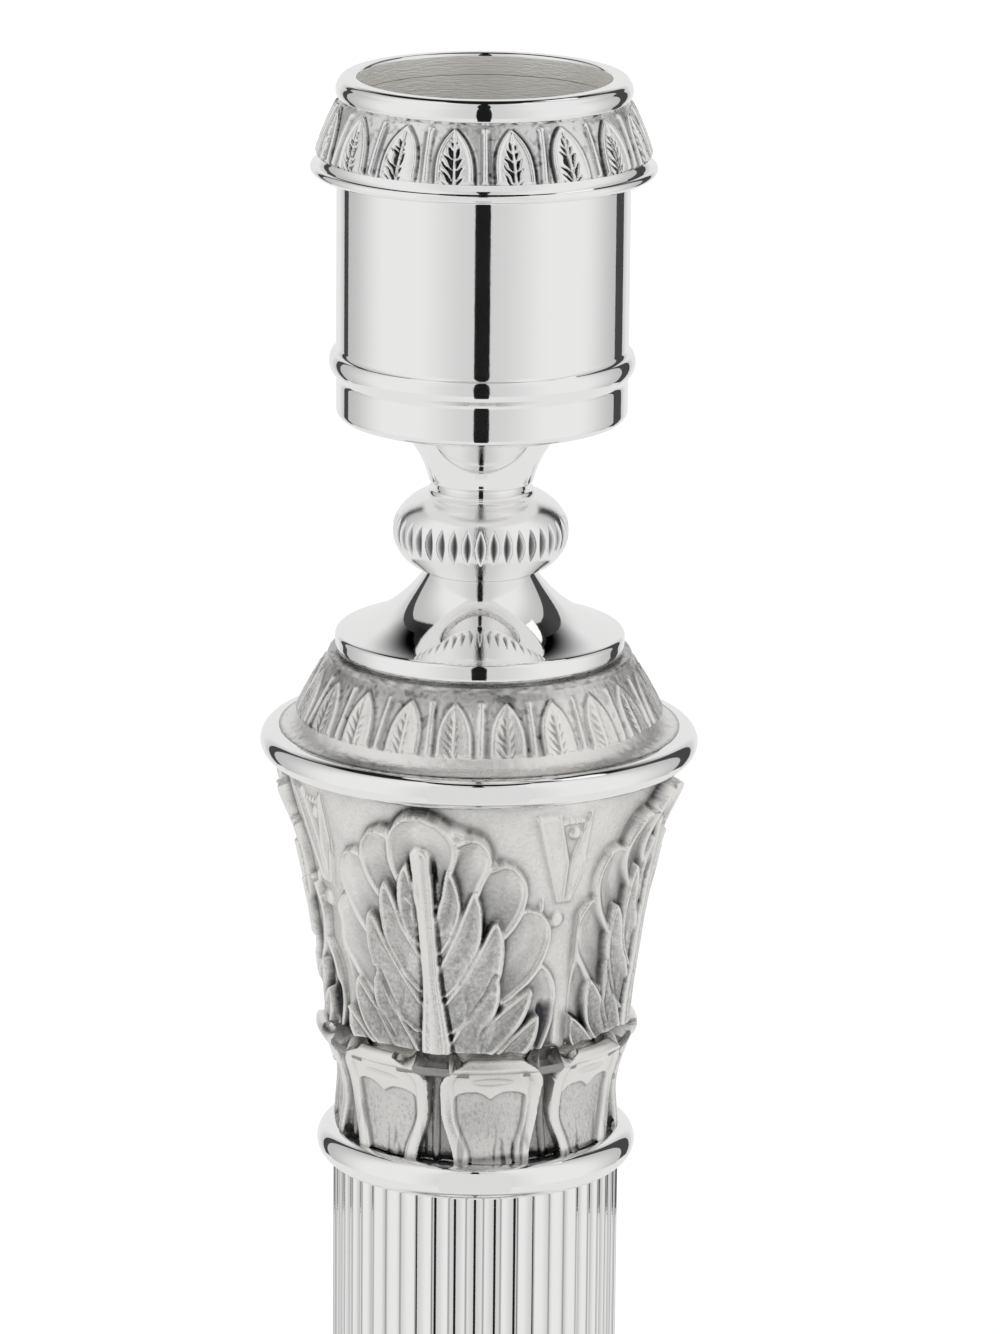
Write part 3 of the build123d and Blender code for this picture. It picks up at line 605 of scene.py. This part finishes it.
filler = cloth_like("cast_filler", (0.36, 0.34, 0.31), (0.26, 0.24, 0.22), 900)
felt = cloth_like("green_felt", (0.05, 0.12, 0.09), (0.02, 0.06, 0.045), 2600)
knop_silver = metal("cut_silver", SILVER, (0.05, 0.05, 0.05), (0.91, 0.91, 0.91),
                    0.02, 0.35, 9000, 0.1)


# ---- Socket unit -------------------------------------------------------------------------------

def make_socket_rim():
    outline = (
        arc((bore_r, rim_z - 0.3), (bore_r + 0.09, rim_z - 0.09), (bore_r + 0.3, rim_z), 6)
        + line((bore_r + 0.5, rim_z), (12.45, rim_z), 3)
        + arc((12.55, rim_z), (12.92, rim_z - 0.16), (13.15, rim_z - 0.48), 12)
        + arc((13.17, rim_z - 0.52), (13.42, rim_z - 1.15), (13.36, rim_z - 1.6), 14)
        + arc((13.34, rim_z - 1.66), (13.28, rim_z - 1.82), (13.18, rim_z - 1.95), 6)
    )
    turned("socket_rim", "socket_unit", [
        (line((bore_r, rim_z - 2.0), (bore_r, rim_z - 0.45), 6), inside),
        (outline, polished),
        (line((13.1, rim_z - 2.1), (12.2, rim_z - 2.2)), polished),
    ])


def make_socket_band():
    band = resampled(arc((12.9, rim_z - 1.95), (14.13, rim_z - 4.45), (15.05, rim_z - 7.05), 30), 0.07)
    relief = leaf_band(17, 11.1, 5.05, 3.6, 0.32, 0.0, 11)
    turned("socket_leaf_band", "socket_unit", [
        (line((TUBE_R, rim_z - 7.3), (TUBE_R, rim_z - 1.95)), antique),
        (band, crisp, relief),
        (line((14.9, rim_z - 7.3), (14.0, rim_z - 7.3)), antique),
    ], segments=1200, nodes=["socket_collar"])


def make_socket_lip():
    outline = (
        arc((15.1, rim_z - 7.1), (15.13, rim_z - 7.5), (15.36, rim_z - 7.85), 8)
        + arc((15.40, rim_z - 7.9), (15.69, rim_z - 8.35), (15.42, rim_z - 8.72), 12)
        + line((15.3, collar_low), (14.0, collar_low), 3)
    )
    turned("socket_lip", "socket_unit", [
        (line((TUBE_R, collar_low), (TUBE_R, rim_z - 7.1)), polished),
        (outline, polished),
    ])


def make_socket_cup():
    wall_low = cup_low + 6.85
    bore = (
        line((SCREW_HOLE_R, cup_low), (SCREW_HOLE_R, cup_floor - 2.0))
        + line((4.1, cup_floor), (bore_r - 0.2, cup_floor), 5)
        + line((bore_r, cup_floor + 0.2), (bore_r, rim_z - 2.05), 30)
    )
    outside = (
        line((13.3, collar_low - 0.05), (13.3, wall_low), 4)
        + arc((13.3, wall_low - 0.05), (13.36, wall_low - 0.45), (13.62, wall_low - 0.72), 7)
        + arc((13.66, wall_low - 0.75), (13.93, cup_low + 5.3), (13.52, cup_low + 4.15), 14)
        + arc((13.48, cup_low + 4.08), (13.32, cup_low + 3.8), (13.27, cup_low + 3.5), 6)
        + line((13.27, cup_low + 3.3), (13.27, cup_low + 0.85), 3)
        + arc((13.27, cup_low + 0.8), (13.03, cup_low + 0.24), (12.47, cup_low), 9)
        + line((12.2, cup_low), (SCREW_HOLE_R, cup_low), 3)
    )
    turned("socket_cup_turned", "socket_unit", [
        (bore, inside),
        (line((TUBE_R, rim_z - 2.05), (TUBE_R, collar_low)), polished),
        (outside, polished),
    ], nodes=["socket_cup"])


def make_socket_neck():
    outline = (
        line((SCREW_HOLE_R, cup_low), (7.9, cup_low))
        + arc((8.0, cup_low - 0.1), (8.02, cup_low - 0.35), (7.85, cup_low - 0.7), 5)
        + arc((7.8, cup_low - 0.8), (5.66, neck_low + 3.1), (4.78, neck_low + 0.75), 26)
        + arc((4.76, neck_low + 0.7), (4.7, neck_low + 0.62), (4.6, neck_low + 0.58), 4)
        + line((4.3, neck_low + 0.57), (4.22, neck_low + 0.5), 2)
        + line((4.2, neck_low + 0.4), (4.2, neck_low), 2)
    )
    turned("socket_neck_turned", "socket_unit", [
        (line((SCREW_HOLE_R, neck_low), (SCREW_HOLE_R, cup_low - 0.1)), polished),
        (outline, polished),
    ], nodes=["socket_neck"])


KNOP_CUTS = 40
KNOP_MIDDLE = knop_low + 3.72
KNOP_R = 7.9                 # where the width of a cut is measured


def knop_relief(azimuths, outline):
    """Upright V cuts. The knop curves away above and below, so each cut shows as a lens shape."""
    pitch = 2 * math.pi / KNOP_CUTS
    cell = azimuths / pitch
    x = np.abs(cell - np.round(cell)) * pitch * KNOP_R
    y = (outline[None, :, 1] - KNOP_MIDDLE) / 1.62
    half = 0.46 * np.clip(1 - y ** 2, 0, 1)
    cut = np.clip(half - x, 0, 1)
    height = -0.95 * cut
    # painted shade: each cut is darkened towards the dark colour of the cut silver
    dark = smooth(0.02, 0.35, cut) * 0.75
    return height, dark, 1 - smooth(0, 0.2, cut)


def make_knop():
    angles = np.radians(np.linspace(76, -84, 86))
    fullness = np.where(angles > 0, 1.35, 1.06)
    radii = 4.75 + 3.28 * np.cos(angles) ** fullness
    side = list(zip(radii, KNOP_MIDDLE + 3.6 * np.sin(angles)))
    outline = (
        line((SCREW_HOLE_R, neck_low), (4.72, neck_low))
        + arc((4.8, neck_low - 0.04), (4.88, neck_low - 0.2), (5.0, neck_low - 0.34), 5)
    )
    turned("knop_cut", "socket_unit", [
        (line((SCREW_HOLE_R, knop_low), (SCREW_HOLE_R, neck_low)), polished),
        (outline, polished),
        (side, knop_silver, knop_relief),
        (line((5.05, knop_low), (4.0, knop_low)), polished),
    ], segments=960, nodes=["knop"])


def make_spreader_foot():
    outline = (
        arc((5.05, knop_low - 0.02), (7.35, seat_z + 4.72), (12.75, seat_z + 1.75), 44)
        + arc((12.85, seat_z + 1.72), (13.18, seat_z + 1.52), (13.3, seat_z + 1.2), 7)
        + line((13.3, seat_z + 1.05), (13.3, seat_z + 0.12), 3)
        + line((13.22, seat_z), (12.0, seat_z))
    )
    turned("spreader_foot_turned", "socket_unit", [
        (line((SCREW_HOLE_R, seat_z), (SCREW_HOLE_R, knop_low)), polished),
        (outline, polished),
    ], nodes=["spreader_foot"])


# ---- Capital -----------------------------------------------------------------------------------

def make_shoulder():
    plug_wall = (
        line((7.0, abacus_top), (7.0, seat_z - 2.0))
        + line((9.0, seat_z - 2.0), (9.0, seat_z))
        + line((9.1, seat_z), (12.4, seat_z), 3)
    )
    ledge = line((12.4, seat_z - 0.3), (13.8, seat_z - 0.3), 12)
    ledge_corner = arc((13.85, seat_z - 0.32), (13.96, seat_z - 0.5), (13.98, seat_z - 0.8), 5)
    face = arc((14.0, seat_z - 0.9), (15.62, seat_z - 3.6), (16.85, seat_z - 5.95), 30)
    cove = arc((16.88, seat_z - 6.05), (17.4, seat_z - 6.85), (18.45, abacus_top + 0.02), 14)
    relief = leaf_band(21, 9.27, 5.15, 3.3, 0.15, 1.0, 21)
    turned("capital_shoulder_cast", "stand", [
        (plug_wall, antique),
        (ledge, antique, ledge_relief),
        (ledge_corner, antique, ledge_relief),
        (resampled(face, FINE_GRID), antique, relief),
        (resampled(cove, 0.12), antique, cove_relief),
    ], segments=1100, nodes=["capital_shoulder"])


def cove_relief(azimuths, outline):
    """The smooth cove over the abacus, darker along its lower edge."""
    shape = (len(azimuths), len(outline))
    rough = grain(shape, (2.2, 1.4), 51)
    wander = grain(shape, (25, 6), 52)
    share = np.linspace(0, 1, len(outline))[None, :]
    edge = smooth(0.8, 1.0, share)
    dark = 0.03 + 0.5 * edge + 0.08 * rough * edge + 0.06 * wander
    return 0.012 * rough, dark, 0.75 + 0.12 * wander - 0.3 * edge


def ledge_relief(azimuths, outline):
    """A rough cast ledge, half hidden under the foot and painted dark as the shade under the foot's
    edge.
    """
    rough = grain((len(azimuths), len(outline)), (3, 0.8), 53)
    return 0.01 * rough, 0.42 + 0.14 * rough, 0.2 + 0.1 * rough


def make_abacus():
    middle = (abacus_top + abacus_low) / 2
    nose = arc((18.75, abacus_top), (20.15, middle), (18.75, abacus_low), 40)
    turned("abacus_ring_turned", "stand", [
        (line((12.0, abacus_low), (12.0, abacus_top)), polished),
        (line((12.1, abacus_top), (18.6, abacus_top), 3) + nose, polished),
        (line((18.6, abacus_low), (12.1, abacus_low)), polished),
    ], nodes=["abacus_ring"])


def make_bell():
    flank = arc((18.05, abacus_low), (15.15, abacus_low - 12.35), (13.35, calyx_top), 60)
    inner = line((10.2, calyx_low + 3.0), (10.6, calyx_top))
    inner += line((16.0, abacus_low), (16.1, abacus_low))
    foot = line((12.2, calyx_top), (12.2, calyx_low))
    foot += line((8.0, calyx_low), (8.0, calyx_low + 3.0))
    sector = turned("capital_bell_sector_1", "stand", [
        (inner, antique),
        (resampled(flank, FINE_GRID), antique, bell_relief),
        (foot, antique),
    ], segments=300, start=SECTOR_START, sweep=SECTOR, nodes=["capital_bell"])
    for k in range(1, 4):
        copy = sector.copy()
        copy.name = "capital_bell_sector_" + str(k + 1)
        copy.data = sector.data.copy()
        copy.data.transform(Matrix.Rotation(math.radians(SECTOR * k), 4, "Z"))
        bpy.context.scene.collection.objects.link(copy)


def make_calyx():
    y = calyx_low
    face = (
        line((13.15, y), (13.05, y + 2.5), 26)
        + arc((13.05, y + 2.6), (13.38, y + 6.2), (14.45, y + 9.05), 66)[1:]
        + arc((14.45, y + 9.05), (14.95, y + 9.8), (14.45, y + 10.4), 18)[1:]
        + arc((14.40, y + 10.42), (13.9, y + 10.35), (13.45, y + 9.9), 14)[1:]
    )[::-1]
    turned("leaf_calyx_cast", "stand", [
        (line((12.2, y), (12.2, y + 9.6), 2), antique),
        (face, antique, calyx_relief),
    ], segments=1120, nodes=["leaf_calyx"])


def make_astragal():
    middle = (calyx_low + astragal_low) / 2
    nose = arc((13.12, calyx_low), (14.82, middle), (13.12, astragal_low), 40)
    turned("astragal_ring_turned", "stand", [
        (line((8.0, astragal_low), (8.0, calyx_low)), polished),
        (line((8.1, calyx_low), (13.0, calyx_low)) + nose, polished),
    ], nodes=["astragal_ring"])


# ---- Column ------------------------------------------------------------------------------------

FLUTES = 52
FLUTE_R = 1.8
FLUTE_HALF = 0.79            # half a flute's width: the flutes almost touch
FLUTE_STEPS = 30             # points round each flute


def flute_relief(azimuths, outline):
    pitch = 2 * math.pi / FLUTES
    cell = azimuths / pitch
    x = np.abs(cell - np.round(cell)) * pitch * column_r
    land = math.sqrt(FLUTE_R ** 2 - FLUTE_HALF ** 2)
    depth = np.sqrt(FLUTE_R ** 2 - np.minimum(x, FLUTE_HALF) ** 2) - land
    height = np.repeat(-depth, len(outline), axis=1)
    # painted reflection: dark lines along the arrises between the flutes
    dark = np.repeat(0.6 * smooth(FLUTE_HALF - 0.14, FLUTE_HALF, x), len(outline), axis=1)
    return height, dark, np.ones(height.shape)


def make_column():
    bore = 11.2
    face = line((column_r, astragal_low), (column_r, column_low), 12)
    turned("column_fluted", "stand", [
        (line((bore, column_low), (bore, astragal_low)), reeded),
        (face, reeded, flute_relief),
    ], segments=FLUTES * FLUTE_STEPS, nodes=["column_tube"], sharp=35)


# ---- Base --------------------------------------------------------------------------------------

def make_base_collar():
    y = base_collar_low
    outline = (
        line((8.0, column_low), (13.9, column_low), 3)
        + arc((14.0, column_low), (14.2, column_low - 0.1), (14.25, column_low - 0.3), 5)
        + line((14.25, y + 5.3), (14.3, y + 5.0), 2)
        + arc((14.9, y + 4.8), (17.3, y + 2.4), (14.9, y), 44)
    )
    turned("base_collar_turned", "stand", [
        (line((8.0, y), (8.0, column_low - 0.1)), polished),
        (outline, polished),
    ], nodes=["base_collar"])


def make_base_dome():
    outer = (
        line((8.0, base_collar_low), (14.5, base_collar_low), 3)
        + arc((14.6, base_collar_low - 0.02), (21.0, dome_low + 16.4), (40.0, dome_low + 3.6), 80)
        + arc((40.2, dome_low + 3.55), (42.7, dome_low + 2.4), (43.6, dome_low + 0.05), 24)
        + line((43.6, dome_low), (41.4, dome_low))
    )
    inner_top = base_collar_low - 3.0
    inner = (
        arc((41.3, dome_low + 0.1), (40.8, dome_low + 1.0), (39.4, dome_low + 1.6), 6)
        + arc((39.3, dome_low + 1.62), (19.3, dome_low + 15.2), (12.5, inner_top), 40)
        + line((12.4, inner_top), (8.0, inner_top))
    )
    turned("base_dome_turned", "stand", [
        (inner, polished),
        (outer, polished),
    ], segments=320, nodes=["base_dome"])


def make_base_band():
    face = arc((44.6, dome_low - 0.75), (50.3, band_low + 5.3), (54.75, band_low + 0.75), 60)
    shelf = line((40.6, dome_low), (44.4, dome_low), 3)
    shelf += line((44.5, dome_low - 0.3), (44.5, dome_low - 0.6))
    relief = leaf_band(45, 4.0, 5.6, 3.5, 0.3, 0.2, 61, scale=2.0)
    turned("base_leaf_band_cast", "stand", [
        (line((40.5, band_low), (40.5, dome_low)), antique),
        (shelf, polished),
        (resampled(face, 0.16), antique, relief),
        (line((54.8, band_low + 0.6), (54.8, band_low)), polished),
    ], segments=1300, nodes=["base_leaf_band"])


def make_base_rim():
    outline = (
        line((50.0, band_low), (55.3, band_low), 3)
        + arc((55.4, band_low), (55.58, band_low - 0.08), (55.6, band_low - 0.3), 4)
        + line((55.6, band_low - 0.6), (55.6, band_low - 1.8), 2)
        + arc((55.62, band_low - 2.0), (56.05, band_low - 2.7), (57.2, band_low - 2.98), 10)
        + arc((57.4, band_low - 3.0), (59.2, rim_low + 2.9), (57.2, rim_low), 36)
        + line((57.1, rim_low), (55.0, rim_low))
    )
    turned("base_rim_turned", "stand", [
        (line((55.0, plate_top), (50.0, plate_top)), polished),
        (outline, polished),
    ], segments=360, nodes=["base_rim"])


make_socket_rim()
make_socket_band()
make_socket_lip()
make_socket_cup()
make_socket_neck()
make_knop()
make_spreader_foot()
make_shoulder()
make_abacus()
make_bell()
make_calyx()
make_astragal()
make_column()
make_base_collar()
make_base_dome()
make_base_band()
make_base_rim()

# Kept CAD nodes: the hidden pieces and the base's underside
KEPT_NODES = (
    (brass, ("spigot", "capital_bush", "column_top_plug", "column_bottom_plug")),
    (steel, ("cup_screw", "tie_rod", "base_plate", "base_washer", "base_nut")),
    (filler, ("base_weight",)),
    (felt, ("felt_pad",)),
)
for material, nodes in KEPT_NODES:
    for node in nodes:
        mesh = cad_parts[node].data
        mesh.materials.clear()
        mesh.materials.append(material)


# ---- Studio ------------------------------------------------------------------------------------

GAP_EDGES = (-6.3, 5.7)      # azimuths of the gap between the softboxes
SOFTBOX_DISTANCE = 0.52
CORNER_GLOW = 0.03           # where the softboxes are cut away
DARK_GLOW = 0.0115           # the gap between the softboxes
BACKDROP_GLOW = 0.83
# The floor that reflections see is an emitting sheet: a painted floor reflection with a painted shadow
# round the foot.
PAINTED_FLOOR_GLOW = 0.82
# Emitting cards in front of the polished rings paint bright reflections on them.
PAINTED_RING_GLOW = 0.76
PAINTED_RING_GAP = 0.9               # millimetres from a ring to its card


def make_floor():
    size = 8.0
    corners = [(-size, -size, 0), (size, -size, 0), (size, size, 0), (-size, size, 0)]
    mesh = bpy.data.meshes.new("floor")
    mesh.from_pydata(corners, [], [(0, 1, 2, 3)])
    floor = bpy.data.objects.new("floor", mesh)
    material = bpy.data.materials.new("pale_floor")
    tree, make = node_maker(material)
    out = make("ShaderNodeOutputMaterial")
    shader = make("ShaderNodeBsdfDiffuse", {"Color": (0.93, 0.93, 0.93, 1)})
    plug(tree, shader.outputs["BSDF"], out.inputs["Surface"])
    mesh.materials.append(material)
    bpy.context.scene.collection.objects.link(floor)


def stage_light(name, points, faces, glow):
    """An emitting sheet that only reflections see. glow holds the brightness of each point."""
    mesh = bpy.data.meshes.new(name)
    mesh.from_pydata(points, [], faces)
    attribute = mesh.attributes.new("glow", "FLOAT", "POINT")
    attribute.data.foreach_set("value", glow.astype(np.float32))
    sheet = bpy.data.objects.new(name, mesh)
    material = bpy.data.materials.new(name + "_light")
    tree, make = node_maker(material)
    out = make("ShaderNodeOutputMaterial")
    light = make("ShaderNodeEmission")
    level = make("ShaderNodeAttribute", attribute_name="glow")
    plug(tree, level.outputs["Fac"], light.inputs["Strength"])
    plug(tree, light.outputs["Emission"], out.inputs["Surface"])
    mesh.materials.append(material)
    bpy.context.scene.collection.objects.link(sheet)
    sheet.visible_camera = False
    sheet.visible_diffuse = False
    sheet.visible_shadow = False


def make_panel(name, distance, azimuths, elevations, glow):
    """A softbox or a dark cloth: a patch of a sphere round the capital. glow gives its brightness
    from azimuth and elevation in degrees."""
    rows, columns = 180, 90
    az = np.linspace(*azimuths, rows)[:, None]
    el = np.linspace(*elevations, columns)[None, :]
    a, e = np.radians(az), np.radians(el)
    x = distance * np.sin(a) * np.cos(e)
    y = -distance * np.cos(a) * np.cos(e)
    z = seat_z * MM + distance * np.sin(e) * np.ones(a.shape)
    points = np.stack([x, y, z], axis=2)
    i = np.arange(rows - 1)[:, None]
    j = np.arange(columns - 1)[None, :]
    corners = (i * columns + j, (i + 1) * columns + j, (i + 1) * columns + j + 1, i * columns + j + 1)
    faces = np.stack(corners, axis=2).reshape(-1, 4).tolist()
    values = glow(az, el) * np.ones((rows, columns))
    stage_light(name, points.reshape(-1, 3), faces, values.ravel())


def box_glow(az, el):
    """Softbox brightness, best a third of the way round. The outer upper corner is cut away."""
    turn = np.abs(az)
    level = 0.68 + 0.19 * smooth(8, 55, turn) - 0.32 * smooth(80, 128, turn)
    corner = turn + 0.75 * np.maximum(el - 44, 0)
    return np.where(corner < 131, level, CORNER_GLOW)


def backdrop_glow(az, el):
    """White backdrop that fades out above and is a little dimmer at its two ends."""
    ends = smooth(143, 156, az) * smooth(220.5, 207, az)
    return BACKDROP_GLOW * smooth(49, 29, el) * (0.78 + 0.22 * ends)


def surround_glow(az, el):
    """Dark cloth behind the softboxes, a little lighter low down at the sides and behind."""
    front = np.abs(az) < 60
    return np.where(front, DARK_GLOW, 0.013 + 0.05 * smooth(58, 38, el))


def make_painted_ring_reflection(ring_r, low_z, high_z):
    """An emitting sheet just in front of a polished ring that paints a bright reflection on it, so that
    the dark gap doesn't show on the ring.
    """
    reach = ring_r + PAINTED_RING_GAP
    angles = np.radians(np.linspace(-14, 14, 12))
    rim = [(reach * math.sin(a) * MM, -reach * math.cos(a) * MM) for a in angles]
    points = [(x, y, z * MM) for z in (low_z, high_z) for x, y in rim]
    count = len(rim)
    faces = [(i, i + 1, count + i + 1, count + i) for i in range(count - 1)]
    stage_light("painted_ring_reflection", points, faces, np.full(len(points), PAINTED_RING_GLOW))


def make_painted_floor_reflection():
    """A painted reflection of the floor: white, with a painted shadow darker close round the foot. A
    dark wedge paints the gap between the softboxes across it as a painted reflection."""
    radii = [0, 0.050, 0.056, 0.062, 0.070, 0.080, 0.095, 0.12, 0.16, 1.6]
    segments = 96
    angles = np.linspace(0, 2 * math.pi, segments, endpoint=False)
    points = [(r * math.cos(a), r * math.sin(a), 0.0002) for r in radii for a in angles]
    faces = []
    for k in range(len(radii) - 1):
        inner, outer = k * segments, (k + 1) * segments
        for i in range(segments):
            beside = (i + 1) % segments
            faces.append((inner + i, inner + beside, outer + beside, outer + i))
    # painted shadow: the reflected floor darkens close round the foot
    floor_glow_with_painted_shadow = PAINTED_FLOOR_GLOW * (0.25 + 0.75 * smooth(0.052, 0.11, np.array(radii)))
    stage_light("painted_floor_reflection", points, faces, np.repeat(floor_glow_with_painted_shadow, segments))
    # painted reflection: a dark wedge on the reflected floor carries on the gap between the softboxes
    wedge = []
    for r in (0.27, 0.9):
        for a in np.radians(GAP_EDGES):
            wedge.append((r * math.sin(a), -r * math.cos(a), 0.0004))
    stage_light("painted_floor_gap", wedge, [(0, 1, 3, 2)], np.full(len(wedge), DARK_GLOW))


def make_studio():
    make_panel("left_softbox", SOFTBOX_DISTANCE, (GAP_EDGES[0], -130.3), (-30, 76), box_glow)
    make_panel("right_softbox", SOFTBOX_DISTANCE, (GAP_EDGES[1], 126.5), (-30, 76), box_glow)
    make_panel("right_lamp", 0.50, (117, 150), (54, 67), lambda az, el: 1.05)
    make_panel("backdrop", 0.54, (142.5, 220.8), (-30, 52), backdrop_glow)
    make_panel("dark_surround", 0.60, (-180, 180), (-30, 90), surround_glow)
    make_painted_floor_reflection()
    # painted bright reflections on the collar lip, the abacus and the astragal
    make_painted_ring_reflection(15.7, collar_low - 0.3, collar_low + 2.6)
    make_painted_ring_reflection(20.15, abacus_low - 1.0, abacus_top + 2.6)
    make_painted_ring_reflection(14.82, astragal_low - 0.6, calyx_low + 2.4)
    world = bpy.data.worlds.new("white_studio")
    world.use_nodes = True
    background = world.node_tree.nodes["Background"]
    background.inputs["Color"].default_value = (1, 1, 1, 1)
    background.inputs["Strength"].default_value = 1.12
    bpy.context.scene.world = world


def make_camera():
    """A long lens a little above the capital, looking down at the seat of the socket unit."""
    aim = Vector((0, 0, (seat_z - 2.0) * MM))
    distance = 0.640
    pitch = math.radians(15.2)
    camera_data = bpy.data.cameras.new("camera")
    camera_data.lens = 187.85
    camera_data.sensor_width = 36.0
    camera_data.shift_x = 0.01526
    camera_data.clip_start = 0.01
    camera_data.dof.use_dof = False
    camera = bpy.data.objects.new("camera", camera_data)
    place = aim + Vector((0, -distance * math.cos(pitch), distance * math.sin(pitch)))
    tilt = Matrix.Rotation(math.radians(90) - pitch, 4, "X")
    roll = Matrix.Rotation(math.radians(0.5), 4, "Z")
    camera.matrix_world = Matrix.Translation(place) @ tilt @ roll
    bpy.context.scene.collection.objects.link(camera)
    bpy.context.scene.camera = camera


make_floor()
make_studio()
make_camera()
bpy.context.scene.view_settings.view_transform = "Standard"
